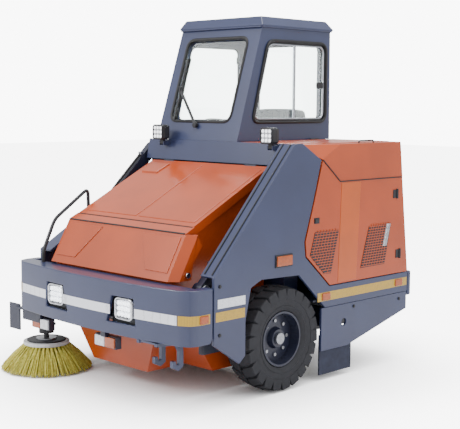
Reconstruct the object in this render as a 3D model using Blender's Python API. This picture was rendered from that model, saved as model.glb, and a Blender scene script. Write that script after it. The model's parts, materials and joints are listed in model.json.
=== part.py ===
"""Ride-on sweeper with a cab, a front high-dump hopper and a rear steering wheel.

Metres, +Z up. The front of the machine faces -Y and its left side is at +X.
The pieces are laid out about the front axle, at y = 0, and then carried by one
empty that puts the middle of the machine's footprint at the world origin.
"""

import math

import bmesh
import bpy
from mathutils import Matrix, Vector

# ---- driving dimensions ----------------------------------------------------------------
GAP = 0.0005            # face-to-face clearance between neighbouring pieces
RUNNING = 0.0008        # radial clearance of a pin in its hole
HALF_WIDTH = 0.76       # body, over the outer side panels
SKIN = 0.012            # sheet of doors, covers and lids
PANEL = 0.020           # sheet of the outer side panels
REAR_Y = 1.134          # rear face at door-sill height
SILL_Z = 0.554          # underside of the service door
WAIST_Z = 0.433         # seam between side panel and lower panel
DECK_Z = 1.366          # top of the hood and foot of the cab
REAR_RAKE = 0.1258      # how far the rear face leans forward per metre of height

CAB_X = -0.16           # the cab stands off centre, towards the entry side
CAB_HALF = 0.355
CAB_HALF_TOP = 0.350
CAB_FRONT = 0.175
CAB_FRONT_TOP = 0.392
CAB_REAR = 1.030
CAB_WALL = 0.035
EAVE_Z = 2.050
ROOF_Z = 2.115
GLASS = 0.006
WINDOW_LOW = 1.475
WINDOW_HIGH = 1.975

WHEEL_R = 0.2955
TYRE_W = 0.175
TYRE_OUT_X = 0.748      # outer sidewall of a front tyre
RIM_R = 0.155
AXLE_R = 0.026
REAR_WHEEL_R = 0.180
REAR_WHEEL_Y = 0.820
REAR_TYRE_W = 0.130
REAR_RIM_R = 0.095
KING_PIN_R = 0.030

RAIL_X = 0.530          # inner face of a chassis rail
RAIL_W = 0.035
RAIL_LOW = 0.250
RAIL_HIGH = 0.360
CROSS_HIGH = 0.470
STEER_BEAM_LOW = 0.400
FLOOR_T = 0.010

HOPPER_HALF = 0.485
LID_HALF = HOPPER_HALF + 0.015
LID_FRONT = (-0.460, 0.938)
LID_REAR = (0.130, 1.235)
LID_T = 0.020
HOPPER_WALL = 0.010
NOSE_HALF = HOPPER_HALF + 0.023
NOSE_SIDE = HOPPER_HALF + 0.070
NOSE_CHAMFER = 0.045
NOSE_FOOT = (-0.659, 0.664)
NOSE_TOP = (-0.525, 0.901)

BUMPER_LOW = 0.3626
BUMPER_HIGH = 0.652
BUMPER_WALL = 0.025
BUMPER_FRONT = -0.800   # foremost point, on the centre line
BUMPER_BACK = -0.568
BUMPER_SWEEP = 0.055    # how far the face falls back at BUMPER_BEND
BUMPER_BEND = HALF_WIDTH - 0.080
HEADLIGHT_X = 0.300

TIP_AXIS = (-0.655, 0.420)      # y, z of the hopper's tipping tube
ARM_TIP = (-0.500, 0.620)
ARM_HUB = (0.215, 1.305)
ARM_X = 0.587                   # inner face of a lift arm
ARM_T = 0.046
TUBE_R = 0.020
HUB_SHAFT_R = 0.022

BRUSH_R = 0.155
BRUSH_Y = 0.370
BRUSH_HALF = 0.465
BRUSH_CLEAR = 0.003             # the bristle tips stop just off the ground
YOKE_PIVOT = (0.590, 0.325)
SIDE_BRUSH = (-0.615, -0.623)
SIDE_BRUSH_R = 0.274
SIDE_DISC_R = 0.133

COWL_HALF = 0.575
COLUMN_FOOT = (0.310, 0.700)
COLUMN_TOP = (0.500, 1.440)
STEERING_R = 0.180
SEAT_TOP = 1.120
FOOTWELL_FLOOR = 0.600

SEGMENTS = 32


# ---- scene, materials and the parent empty ---------------------------------------------
for leftover in list(bpy.data.objects):
    bpy.data.objects.remove(leftover)

LATCH_PROUD = 0.006
FOOT_X = (HALF_WIDTH + LATCH_PROUD + SIDE_BRUSH[0] - SIDE_BRUSH_R) / 2
REAR_BUMPER_BACK = 1.185
FOOT_Y = (REAR_BUMPER_BACK + SIDE_BRUSH[1] - SIDE_BRUSH_R) / 2
machine = bpy.data.objects.new("machine", None)
bpy.context.scene.collection.objects.link(machine)
machine.location = (-FOOT_X, -FOOT_Y, 0.0)


def linear(channel):
    return channel / 12.92 if channel <= 0.04045 else ((channel + 0.055) / 1.055) ** 2.4


def finish(name, colour, roughness, metallic=0.0, transmission=0.0):
    """A Principled material from an sRGB hex colour."""
    made = bpy.data.materials.new(name)
    made.use_nodes = True
    shader = made.node_tree.nodes["Principled BSDF"]
    red, green, blue = (int(colour[i:i + 2], 16) / 255 for i in (0, 2, 4))
    shader.inputs["Base Color"].default_value = (linear(red), linear(green), linear(blue), 1)
    shader.inputs["Roughness"].default_value = roughness
    shader.inputs["Metallic"].default_value = metallic
    shader.inputs["Transmission Weight"].default_value = transmission
    return made


GREY = finish("grey_blue_paint", "5A6480", 0.35)
ORANGE = finish("orange_paint", "C0592B", 0.35)
BLACK = finish("black_plastic", "1C1D22", 0.5)
RUBBER = finish("tyre_rubber", "26272B", 0.8)
SKIRT = finish("rubber_sheet", "2A2E42", 0.75)
DARK_STEEL = finish("painted_rim", "22263C", 0.4)
ALUMINIUM = finish("anodised_aluminium", "C4C6CA", 0.3, 1.0)
GLASS_CLEAR = finish("safety_glass", "E4ECEE", 0.05, 0.0, 0.9)
LAMP = finish("lamp_lens", "E8ECF0", 0.1, 0.0, 0.6)
BRISTLE = finish("polypropylene_bristle", "B5A94F", 0.7)
VINYL = finish("seat_vinyl", "202226", 0.6)
FILTER = finish("filter_paper", "D8D2C0", 0.9)


# ---- shape helpers ---------------------------------------------------------------------
AXES = {"x": (1, 2, 0), "y": (0, 2, 1), "z": (0, 1, 2)}


def point_on(axis, across, up, along):
    """A 3-D point from two coordinates across an axis and one along it."""
    first, second, third = AXES[axis]
    spot = [0.0, 0.0, 0.0]
    spot[first] = across
    spot[second] = up
    spot[third] = along
    return Vector(spot)


def skin_rings(rings, closed=False):
    """A closed mesh through rings of equal point count, capped at both ends."""
    mesh = bmesh.new()
    made = [[mesh.verts.new(spot) for spot in ring] for ring in rings]
    pairs = list(zip(made, made[1:]))
    if closed:
        pairs.append((made[-1], made[0]))
    for low, high in pairs:
        for i, vert in enumerate(low):
            j = (i + 1) % len(low)
            mesh.faces.new((vert, low[j], high[j], high[i]))
    if not closed:
        mesh.faces.new(made[0])
        mesh.faces.new(made[-1])
    bmesh.ops.recalc_face_normals(mesh, faces=mesh.faces)
    return mesh


def prism(outline, axis, low, high):
    """An outline of (across, up) points pushed along an axis."""
    return skin_rings([[point_on(axis, a, b, at) for a, b in outline] for at in (low, high)])


def block(x, y, z):
    return prism([(x[0], y[0]), (x[1], y[0]), (x[1], y[1]), (x[0], y[1])], "z", *z)


def circle(centre, radius, steps=SEGMENTS):
    return [
        (centre[0] + radius * math.cos(math.tau * i / steps),
         centre[1] + radius * math.sin(math.tau * i / steps))
        for i in range(steps)
    ]


def rod(centre, radius, axis, low, high, steps=SEGMENTS):
    return prism(circle(centre, radius, steps), axis, low, high)


def turned(profile, centre, axis, steps=SEGMENTS):
    """A closed profile of (radius, along) points turned about an axis through centre."""
    rings = []
    for i in range(steps):
        angle = math.tau * i / steps
        rings.append([
            point_on(axis, centre[0] + r * math.cos(angle), centre[1] + r * math.sin(angle), along)
            for r, along in profile
        ])
    return skin_rings(rings, closed=True)


def rounded(low, high, radius, steps=5):
    """A rectangle between two corners with round corners."""
    centres = [
        (high[0] - radius, high[1] - radius, 0.0),
        (low[0] + radius, high[1] - radius, 0.25),
        (low[0] + radius, low[1] + radius, 0.5),
        (high[0] - radius, low[1] + radius, 0.75),
    ]
    return [
        (x + radius * math.cos(math.tau * (turn + 0.25 * i / steps)),
         y + radius * math.sin(math.tau * (turn + 0.25 * i / steps)))
        for x, y, turn in centres
        for i in range(steps + 1)
    ]


def round_corners(outline, radius, steps=4):
    """The outline with each corner replaced by a short curve."""
    made = []
    for i, spot in enumerate(outline):
        here = Vector(spot)
        before = (Vector(outline[i - 1]) - here).normalized() * radius
        after = (Vector(outline[(i + 1) % len(outline)]) - here).normalized() * radius
        for k in range(steps + 1):
            t = k / steps
            made.append(tuple(here + before * (1 - t) ** 2 + after * t ** 2))
    return made


def inset(outline, distance):
    """An outline moved inwards by a distance, corner by corner."""
    area = sum(
        a[0] * b[1] - b[0] * a[1] for a, b in zip(outline, outline[1:] + outline[:1])
    )
    side = 1 if area > 0 else -1
    made = []
    for i, spot in enumerate(outline):
        here = Vector(spot)
        back = (here - Vector(outline[i - 1])).normalized()
        ahead = (Vector(outline[(i + 1) % len(outline)]) - here).normalized()
        normal_back = Vector((-back.y, back.x)) * side
        normal_ahead = Vector((-ahead.y, ahead.x)) * side
        bisector = (normal_back + normal_ahead).normalized()
        made.append(tuple(here + bisector * distance / bisector.dot(normal_ahead)))
    return made


def link_outline(first, first_radius, second, second_radius, steps=8):
    """A bar with round ends, as seen from the side."""
    start, end = Vector(first), Vector(second)
    heading = math.atan2(end.y - start.y, end.x - start.x)
    made = []
    for spot, radius, turn in ((end, second_radius, -0.5), (start, first_radius, 0.5)):
        for i in range(steps + 1):
            angle = heading + math.pi * (turn + i / steps)
            made.append((spot.x + radius * math.cos(angle), spot.y + radius * math.sin(angle)))
    return made


def strip_outline(first, second, thickness, side=1):
    """A straight strip of sheet between two points, seen edge on."""
    start, end = Vector(first), Vector(second)
    along = (end - start).normalized()
    normal = Vector((-along.y, along.x)) * thickness * side
    return [tuple(start), tuple(end), tuple(end + normal), tuple(start + normal)]


def mirrored(outline):
    return [(-a, b) for a, b in reversed(outline)]


# ---- object helpers --------------------------------------------------------------------
def add(name, mesh, material, pivot=(0.0, 0.0, 0.0), smooth=False):
    """One object from a mesh, its origin on its joint's axis, carried by the empty."""
    data = bpy.data.meshes.new(name)
    mesh.transform(Matrix.Translation(-Vector(pivot)))
    mesh.to_mesh(data)
    mesh.free()
    made = bpy.data.objects.new(name, data)
    bpy.context.scene.collection.objects.link(made)
    made.parent = machine
    made.location = pivot
    if material:
        data.materials.append(material)
    if smooth:
        data.shade_smooth()
        data.set_sharp_from_angle(angle=math.radians(35))
    return made


def helper(mesh):
    """A shape that only joins to or cuts another."""
    made = add("helper", mesh, None)
    made.hide_render = True
    made.display_type = "WIRE"
    return made


def shape_with(target, operation, meshes):
    for mesh in meshes:
        step = target.modifiers.new(operation.lower(), "BOOLEAN")
        step.operation = operation
        step.object = helper(mesh)


def join(target, *meshes):
    shape_with(target, "UNION", meshes)


def cut(target, *meshes):
    shape_with(target, "DIFFERENCE", meshes)


def soften(target, width, segments=2):
    step = target.modifiers.new("edges", "BEVEL")
    step.width = width
    step.segments = segments
    step.limit_method = "ANGLE"
    step.angle_limit = math.radians(50)


def rear_y(z):
    """The rear face leans forward as it rises."""
    return REAR_Y - (z - SILL_Z) * REAR_RAKE


# ---- chassis ---------------------------------------------------------------------------
def chassis():
    rail_out = RAIL_X + RAIL_W
    frame = add(
        "chassis_frame", block((RAIL_X, rail_out), (-0.45, 1.12), (RAIL_LOW, RAIL_HIGH)), DARK_STEEL
    )
    overlap = 0.004
    pieces = [block((-rail_out, -RAIL_X), (-0.45, 1.12), (RAIL_LOW, RAIL_HIGH))]
    for y in ((0.180, 0.215), (0.655, 0.700), (1.080, 1.120)):
        pieces.append(block((-rail_out, rail_out), y, (RAIL_HIGH - overlap, CROSS_HIGH)))
    for spot in ((RAIL_X, rail_out), (-rail_out, -RAIL_X)):
        pieces.append(block(spot, (0.200, 1.100), (RAIL_HIGH - overlap, CROSS_HIGH + overlap)))
    pieces.append(block((-0.738, 0.738), (0.250, 1.100), (CROSS_HIGH, CROSS_HIGH + FLOOR_T)))
    pieces.append(
        block((-rail_out, rail_out), (0.182, 0.260), (CROSS_HIGH - overlap, CROSS_HIGH + FLOOR_T))
    )
    steer_beam = (REAR_WHEEL_Y - 0.05, REAR_WHEEL_Y + 0.05)
    pieces.append(block((-0.120, 0.120), steer_beam, (STEER_BEAM_LOW, CROSS_HIGH + overlap)))
    outrigger_x = HALF_WIDTH - PANEL - GAP
    for side in (-1, 1):
        span = sorted((side * (rail_out - overlap), side * outrigger_x))
        pieces.append(block(span, (-0.42, -0.37), (RAIL_HIGH - overlap, RAIL_HIGH + 0.036)))
        for y in ((0.400, 0.440), (1.040, 1.080)):
            pieces.append(block(span, y, (RAIL_LOW + 0.05, RAIL_HIGH + 0.05)))
        axle = sorted((side * (rail_out - overlap), side * (TYRE_OUT_X - 0.045)))
        pieces.append(rod((0.0, WHEEL_R), AXLE_R, "x", *axle, steps=24))
        brush_pin = sorted((side * (RAIL_X + overlap), side * (BRUSH_HALF + 0.015)))
        pieces.append(rod(YOKE_PIVOT, 0.012, "x", *brush_pin, steps=16))
    pieces.append(rod((-0.400, 0.325), 0.012, "x", -0.606, -rail_out + overlap, steps=16))
    join(frame, *pieces)
    cut(frame, rod((0.0, REAR_WHEEL_Y), KING_PIN_R + RUNNING, "z", 0.30, 0.50))



# ---- outer panels ----------------------------------------------------------------------
ARCH = [
    (0.330, WAIST_Z), (0.300, 0.462), (0.100, 0.645), (-0.203, 0.654),
    (-0.285, 0.620), (-0.325, 0.450), (-0.325, 0.262),
]
DIAGONAL_LOW = (-0.560, 0.705)
DIAGONAL_HIGH = (0.050, 1.3745)
DOOR_FRONT = [(0.142, 0.828), (0.153, 0.741), (0.367, SILL_Z)]
HIGH_EDGE = [DIAGONAL_HIGH, (0.120, 1.3745), (0.280, 1.280), (0.217, 1.058)]
LOW_EDGE = [(-0.263, 0.880), (0.060, 1.035), (0.2095, 1.035)]


def side_panel(name, side, edge):
    """The outer panel: fender, wheel arch, front edge and door surround."""
    outline = ARCH + [(-0.370, 0.224), (-0.560, 0.350), DIAGONAL_LOW] + edge + DOOR_FRONT
    outline += [(1.130, SILL_Z), (1.130, WAIST_Z)]
    outer = sorted((side * (HALF_WIDTH - PANEL), side * HALF_WIDTH))
    panel = add(name, prism(outline, "x", *outer), GREY)
    flange = sorted((side * 0.655, side * (HALF_WIDTH - 0.003)))
    join(panel, prism(strip_outline(DIAGONAL_LOW, edge[0], 0.016, -1), "x", *flange))


PANEL_Y = WHEEL_R + 0.0095      # front edge of the lower panel, behind the tyre


def lower_panel(name, side):
    """The panel below the waist, rising towards the back, with its round port."""
    top = WAIST_Z - 0.002
    outline = [(PANEL_Y, top), (1.130, top), (1.130, 0.323), (0.542, 0.179), (PANEL_Y, 0.179)]
    outer = sorted((side * (HALF_WIDTH - PANEL), side * (HALF_WIDTH - 0.004)))
    panel = add(name, prism(outline, "x", *outer), GREY)
    cut(panel, rod((0.510, 0.324), 0.022, "x", *sorted((side * 0.70, side * 0.80)), steps=20))


def skirt(name, side):
    """A rubber dust skirt screwed to the inside of the lower panel."""
    outer = HALF_WIDTH - PANEL - GAP
    add(
        name, block(sorted((side * (outer - 0.010), side * outer)), (PANEL_Y + 0.005, 0.600), (0.035, 0.270)),
        SKIRT
    )


def rear_pieces():
    high, low = 1.150, 0.440
    base = SILL_Z + 0.004
    def wall(z, depth):
        return (rear_y(z) - depth, z)
    outline = [wall(low, 0), wall(high, 0), wall(high, SKIN), wall(low, SKIN)]
    inner = HALF_WIDTH - PANEL - GAP
    cover = add("rear_cover", prism(outline, "x", -inner, inner), ORANGE)
    deck = DECK_Z - 0.004
    above = [wall(deck, 0.001), wall(1.140, 0.001), wall(1.140, SKIN - 0.001), wall(deck, SKIN - 0.001)]
    join(cover, prism(above, "x", -0.730, 0.200))
    for side in (-1, 1):
        step = [
            (1.095, base + 0.002), (1.035, high - 0.002), wall(high - 0.002, 0.002),
            wall(base + 0.002, 0.002)
        ]
        join(cover, prism(step, "x", *sorted((side * 0.726, side * (HALF_WIDTH - 0.005)))))
        post = [(1.0428, base), (0.9828, high - 0.001), wall(high - 0.001, 0.004), wall(base, 0.004)]
        join(cover, prism(post, "x", *sorted((side * (HALF_WIDTH - SKIN), side * (HALF_WIDTH - 0.001)))))
    for row in range(7):
        z = 0.66 + 0.045 * row
        cut(cover, block((-0.30, 0.30), (0.95, 1.20), (z, z + 0.018)))
    bar = [(1.1488, 0.400), (REAR_BUMPER_BACK, 0.400), (REAR_BUMPER_BACK, 0.555), (1.1488, 0.555)]
    bumper = add("rear_bumper", prism(bar, "x", -0.750, 0.750), GREY)
    soften(bumper, 0.010)


# ---- engine bay ------------------------------------------------------------------------
def hood_lid():
    """The lid over the engine bay: top sheet, outer skirt with a cut corner, rear edge."""
    inner_x = CAB_X + CAB_HALF + 0.020
    top = DECK_Z
    skirt_z = 1.1508
    outline = [
        (0.184, top), (rear_y(top), top), (rear_y(skirt_z), skirt_z),
        (0.4495, skirt_z), (0.2920, 1.2790), (0.184, 1.345),
    ]
    shell = prism(outline, "x", inner_x, HALF_WIDTH - 0.001)
    hollow_outline = [
        (0.150, top - SKIN), (rear_y(top) - SKIN, top - SKIN),
        (rear_y(skirt_z - 0.05) - SKIN, skirt_z - 0.05), (0.40, skirt_z - 0.05), (0.150, 1.25),
    ]
    corner = Vector((HALF_WIDTH, 0.456, top))
    normal = (Vector((0.655, 0.184, top)) - corner).cross(Vector((HALF_WIDTH, 0.290, 1.283)) - corner)
    def chamfer(mesh, offset):
        facing = normal.normalized()
        if facing.z < 0:
            facing = -facing
        bmesh.ops.bisect_plane(
            mesh, geom=mesh.verts[:] + mesh.edges[:] + mesh.faces[:],
            plane_co=corner - facing * offset, plane_no=facing, clear_outer=True,
        )
        bmesh.ops.holes_fill(mesh, edges=mesh.edges)
        bmesh.ops.recalc_face_normals(mesh, faces=mesh.faces)
    chamfer(shell, 0.0)
    lid = add("hood_lid", shell, ORANGE, pivot=(inner_x, 0.60, top + 0.002))
    hollow = prism(hollow_outline, "x", inner_x - 0.05, HALF_WIDTH - SKIN)
    chamfer(hollow, SKIN)
    cut(lid, hollow)


def service_door():
    """The left door, hung on a raked edge, with two slotted air intakes."""
    outline = [
        (0.224, 1.056), (0.150, 0.828), (0.160, 0.744), (0.370, SILL_Z + 0.004),
        (1.043, SILL_Z + 0.004), (0.983, 1.150), (0.447, 1.150), (0.290, 1.276),
    ]
    outline = inset(outline, 0.001)
    door = add(
        "left_service_door", prism(outline, "x", HALF_WIDTH - SKIN, HALF_WIDTH), ORANGE,
        pivot=(HALF_WIDTH + 0.004, 1.0129, 0.85),
    )
    front_grille = [(0.231, 0.875), (0.442, 0.872), (0.375, 0.627), (0.315, 0.631), (0.190, 0.746)]
    rear_grille = [(0.726, 0.868), (0.945, 0.874), (0.885, 0.629), (0.650, 0.627)]
    slots = 9
    for grille in (front_grille, rear_grille):
        low = min(z for _, z in grille)
        high = max(z for _, z in grille)
        pitch = (high - low) / slots
        for row in range(slots):
            z = low + pitch * (row + 0.5)
            left, right = span_at(grille, z)
            if right - left > 0.03:
                bar = block(
                    (HALF_WIDTH - 0.05, HALF_WIDTH + 0.05), (left, right),
                    (z - pitch * 0.3, z + pitch * 0.3)
                )
                cut(door, bar)
    cut(door, rod((0.243, 0.939), 0.0125, "x", HALF_WIDTH - 0.05, HALF_WIDTH + 0.05, steps=16))
    latch = rod((0.243, 0.939), 0.0117, "x", HALF_WIDTH - 0.020, HALF_WIDTH + 0.002, steps=16)
    knob = add("service_door_latch", latch, BLACK, pivot=(HALF_WIDTH, 0.243, 0.939))
    join(knob, block((HALF_WIDTH + GAP, HALF_WIDTH + LATCH_PROUD), (0.226, 0.260), (0.927, 0.951)))
    join(knob, block((HALF_WIDTH - 0.019, HALF_WIDTH - 0.0135), (0.205, 0.250), (0.932, 0.946)))


def span_at(outline, z):
    """Where a level line enters and leaves an outline."""
    hits = []
    for (y0, z0), (y1, z1) in zip(outline, outline[1:] + outline[:1]):
        if (z0 - z) * (z1 - z) < 0:
            hits.append(y0 + (y1 - y0) * (z - z0) / (z1 - z0))
    return min(hits), max(hits)


def engine_bay():
    base = CROSS_HIGH + FLOOR_T + GAP
    engine = add("engine", block((0.300, 0.620), (0.440, 0.860), (base, 0.80)), DARK_STEEL)
    join(
        engine,
        block((0.340, 0.580), (0.480, 0.820), (0.79, 0.98)),
        rod((0.460, 0.660), 0.120, "y", 0.850, 0.930, steps=24),
        rod((0.460, 0.960), 0.075, "y", 0.520, 0.780, steps=20),
        rod((0.600, 0.620), 0.050, "x", 0.600, 0.690, steps=16),
    )
    tank = add("fuel_tank", block((-0.735, -0.525), (0.420, 1.000), (base, 0.612)), BLACK)
    soften(tank, 0.012)


# ---- cowl and footwell -----------------------------------------------------------------
def cowl():
    base = CROSS_HIGH + FLOOR_T + GAP
    front = [(0.140, 1.243), (0.165, DECK_Z), (0.178, DECK_Z), (0.182, 1.243)]
    panel = add("cowl", prism(front, "x", -COWL_HALF, COWL_HALF), GREY)
    join(panel, block((-COWL_HALF, COWL_HALF), (0.1825, 0.192), (base, 1.280)))
    join(panel, block((-COWL_HALF, COWL_HALF), (0.176, 0.186), (1.243, DECK_Z - 0.030)))
    for side in (-1, 1):
        cheek = sorted((side * (COWL_HALF - 0.020), side * COWL_HALF))
        join(panel, block(cheek, (0.184, 0.300), (base, DECK_Z - 0.020)))
    cut(panel, rod(ARM_HUB, HUB_SHAFT_R + RUNNING, "x", -0.70, 0.70, steps=24))
    for x in WORK_LIGHT_X:
        for ear in (-0.021, 0.015):
            join(panel, block((x + ear, x + ear + 0.006), (WORK_LIGHT_Y - 0.010, 0.168), (1.330, 1.355)))
        join(panel, rod((WORK_LIGHT_Y, 1.348), 0.005, "x", x - 0.018, x + 0.018, steps=12))


WORK_LIGHT_X = (-0.400, 0.520)
WORK_LIGHT_Y = 0.120


def work_light(name, x):
    """A square lamp on a lug that tilts about a cross pin."""
    centre_z = 1.412
    body = add(
        name, block(
            (x - 0.050, x + 0.050), (WORK_LIGHT_Y - 0.040, WORK_LIGHT_Y + 0.012),
            (centre_z - 0.046, centre_z + 0.046)
        ),
        BLACK, pivot=(x, WORK_LIGHT_Y, 1.348),
    )
    soften(body, 0.012)
    join(
        body,
        block(
            (x - 0.014, x + 0.014), (WORK_LIGHT_Y - 0.009, WORK_LIGHT_Y + 0.009),
            (1.339, centre_z - 0.030)
        )
    )
    cut(body, rod((WORK_LIGHT_Y, 1.348), 0.005 + RUNNING, "x", x - 0.03, x + 0.03, steps=12))


def footwell():
    """The open-sided tub that holds the driver's floor below the cab."""
    left = CAB_X + CAB_HALF
    right = CAB_X - CAB_HALF
    top = DECK_Z
    sheet = 0.010
    front, rear = 0.1935, 1.000
    tub = add(
        "footwell", block((right, left), (front, rear), (FOOTWELL_FLOOR, FOOTWELL_FLOOR + sheet)),
        DARK_STEEL
    )
    base = CROSS_HIGH + FLOOR_T + GAP
    join(
        tub,
        block((right, left), (front, front + sheet), (FOOTWELL_FLOOR, 1.270)),
        block((left - sheet, left), (0.245, rear), (base, top)),
        block((left - sheet, left), (front, 0.250), (base, 1.270)),
        block((right, left), (rear - sheet, rear), (base, top)),
        block((right, right + sheet), (front, rear), (base, FOOTWELL_FLOOR + 0.005)),
    )
    for x in PEDAL_X:
        for ear in (-0.036, 0.030):
            join(tub, block((x + ear, x + ear + 0.006), (0.425, 0.445), (FOOTWELL_FLOOR + 0.005, 0.636)))
        join(tub, rod((0.435, 0.627), 0.005, "x", x - 0.033, x + 0.033, steps=12))


PEDAL_X = (-0.350, 0.050)


def pedal(name, x):
    """An organ pedal, hinged at its heel."""
    pad = [
        (0.429, 0.634), (0.330, 0.735), (0.324, 0.729), (0.421, 0.628), (0.427, 0.6195),
        (0.443, 0.6195), (0.443, 0.634)
    ]
    plate = add(name, prism(pad, "x", x - 0.029, x + 0.029), BLACK, pivot=(x, 0.435, 0.627))
    cut(plate, rod((0.435, 0.627), 0.005 + RUNNING, "x", x - 0.05, x + 0.05, steps=12))


# ---- cab -------------------------------------------------------------------------------
def front_y(z):
    """The windshield leans back as it rises."""
    return CAB_FRONT + (CAB_FRONT_TOP - CAB_FRONT) * (z - DECK_Z) / (EAVE_Z - DECK_Z)


def cab_ring(z, shrink):
    half = CAB_HALF + (CAB_HALF_TOP - CAB_HALF) * (z - DECK_Z) / (EAVE_Z - DECK_Z) - shrink
    front, rear = front_y(z) + shrink, CAB_REAR - shrink
    return [
        Vector((CAB_X - half, front, z)), Vector((CAB_X + half, front, z)),
        Vector((CAB_X + half, rear, z)), Vector((CAB_X - half, rear, z)),
    ]


SIDE_WINDOW = [(0.300, WINDOW_LOW), (0.990, WINDOW_LOW), (0.990, WINDOW_HIGH), (0.438, WINDOW_HIGH)]
DOOR_WINDOW = [
    (0.365, WINDOW_LOW), (0.930, WINDOW_LOW), (0.930, WINDOW_HIGH - 0.015),
    (0.492, WINDOW_HIGH - 0.015)
]
DOOR_OPENING = [(0.300, 1.30), (0.960, 1.30), (0.960, 1.990), (0.465, 1.990), (0.300, 1.420)]


def windshield_outline(margin):
    return rounded(
        (CAB_X - 0.276 + margin, WINDOW_LOW + margin),
        (CAB_X + 0.262 - margin, WINDOW_HIGH + 0.018 - margin),
        0.050 - margin,
    )


def rear_window_outline(margin):
    return rounded(
        (CAB_X - 0.270 + margin, WINDOW_LOW + margin), (CAB_X + 0.270 - margin, WINDOW_HIGH - margin),
        0.050 - margin,
    )


def cab():
    shell = add("cab_shell", skin_rings([cab_ring(z, 0.0) for z in (DECK_Z + GAP, EAVE_Z)]), GREY)
    cut(
        shell,
        skin_rings([cab_ring(z, CAB_WALL) for z in (DECK_Z - 0.05, EAVE_Z + 0.05)]),
        prism(windshield_outline(0.0), "y", 0.05, 0.60),
        prism(rear_window_outline(0.0), "y", 0.90, 1.20),
        prism(round_corners(SIDE_WINDOW, 0.045), "x", 0.0, 0.30),
        prism(DOOR_OPENING, "x", -0.60, -0.30),
    )

    pane = []
    for depth in (0.014, 0.014 + GLASS):
        pane.append([Vector((x, front_y(z) + depth, z)) for x, z in windshield_outline(GAP)])
    add("windshield", skin_rings(pane), GLASS_CLEAR)
    add(
        "rear_window",
        prism(rear_window_outline(GAP), "y", CAB_REAR - 0.022, CAB_REAR - 0.022 + GLASS), GLASS_CLEAR
    )

    outer = CAB_X + CAB_HALF_TOP
    opening = round_corners(SIDE_WINDOW, 0.045)
    frame = add(
        "side_window_frame", prism(inset(opening, GAP), "x", outer - 0.030, outer + 0.006), ALUMINIUM
    )
    sight = inset(opening, 0.020)
    cut(frame, prism(sight, "x", outer - 0.05, outer + 0.05))
    split = 0.705
    fixed = [spot for spot in inset(opening, 0.0205) if spot[0] < split]
    corner = len(fixed) // 2
    edge = [(split, WINDOW_LOW + 0.0205), (split, WINDOW_HIGH - 0.0205)]
    fixed = fixed[:corner] + edge + fixed[corner:]
    add("side_window_fixed_pane", prism(fixed, "x", outer - 0.024, outer - 0.019), GLASS_CLEAR)
    sliding = [(split - 0.015, 1.4965), (0.9690, 1.4965), (0.9690, 1.9535), (split - 0.015, 1.9535)]
    pane = add(
        "side_window_sliding_pane", prism(
            round_corners(sliding, 0.024), "x", outer - 0.012, outer - 0.007
        ),
        GLASS_CLEAR, pivot=(outer - 0.010, 0.82, 1.72),
    )
    join(pane, block((outer - 0.018, outer + 0.004), (0.925, 0.960), (1.685, 1.735)))

    roof_rings = [
        (EAVE_Z + GAP, 0.356, CAB_FRONT_TOP - 0.006, CAB_REAR + 0.008),
        (EAVE_Z + 0.010, 0.366, CAB_FRONT_TOP - 0.016, CAB_REAR + 0.018),
        (ROOF_Z, 0.330, CAB_FRONT_TOP + 0.010, CAB_REAR - 0.020),
    ]
    rings = []
    for z, half, front, rear in roof_rings:
        rings.append([Vector(spot) for spot in (
            (CAB_X - half, front, z), (CAB_X + half, front, z), (CAB_X + half, rear, z),
            (CAB_X - half, rear, z),
        )])
    add("cab_roof", skin_rings(rings), GREY)


def cab_door():
    """The entry door, outside the cab's right wall, hung at its rear edge."""
    outline = [
        (0.286, 0.625), (0.980, 0.625), (0.980, 2.010), (0.450, 2.010), (0.286, 1.450),
    ]
    outer = CAB_X - CAB_HALF - GAP
    hinge = (outer - 0.022, 0.990, 1.30)
    door = add("cab_door", prism(outline, "x", outer - 0.018, outer), GREY, pivot=hinge)
    cut(door, prism(round_corners(DOOR_WINDOW, 0.045), "x", -0.70, -0.40))
    cut(door, rod((0.330, 1.330), 0.008 + RUNNING, "x", -0.70, -0.40, steps=16))
    pane = prism(inset(round_corners(DOOR_WINDOW, 0.045), GAP), "x", outer - 0.012, outer - 0.006)
    add("door_glass", pane, GLASS_CLEAR, pivot=hinge)
    handle = add(
        "door_handle", rod((0.330, 1.330), 0.008, "x", outer - 0.040, outer + 0.010, steps=16), BLACK,
        pivot=(outer, 0.330, 1.330)
    )
    join(handle, block((outer - 0.045, outer - 0.034), (0.322, 0.440), (1.318, 1.342)))
    join(handle, block((outer + 0.004, outer + 0.010), (0.305, 0.340), (1.323, 1.337)))


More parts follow.
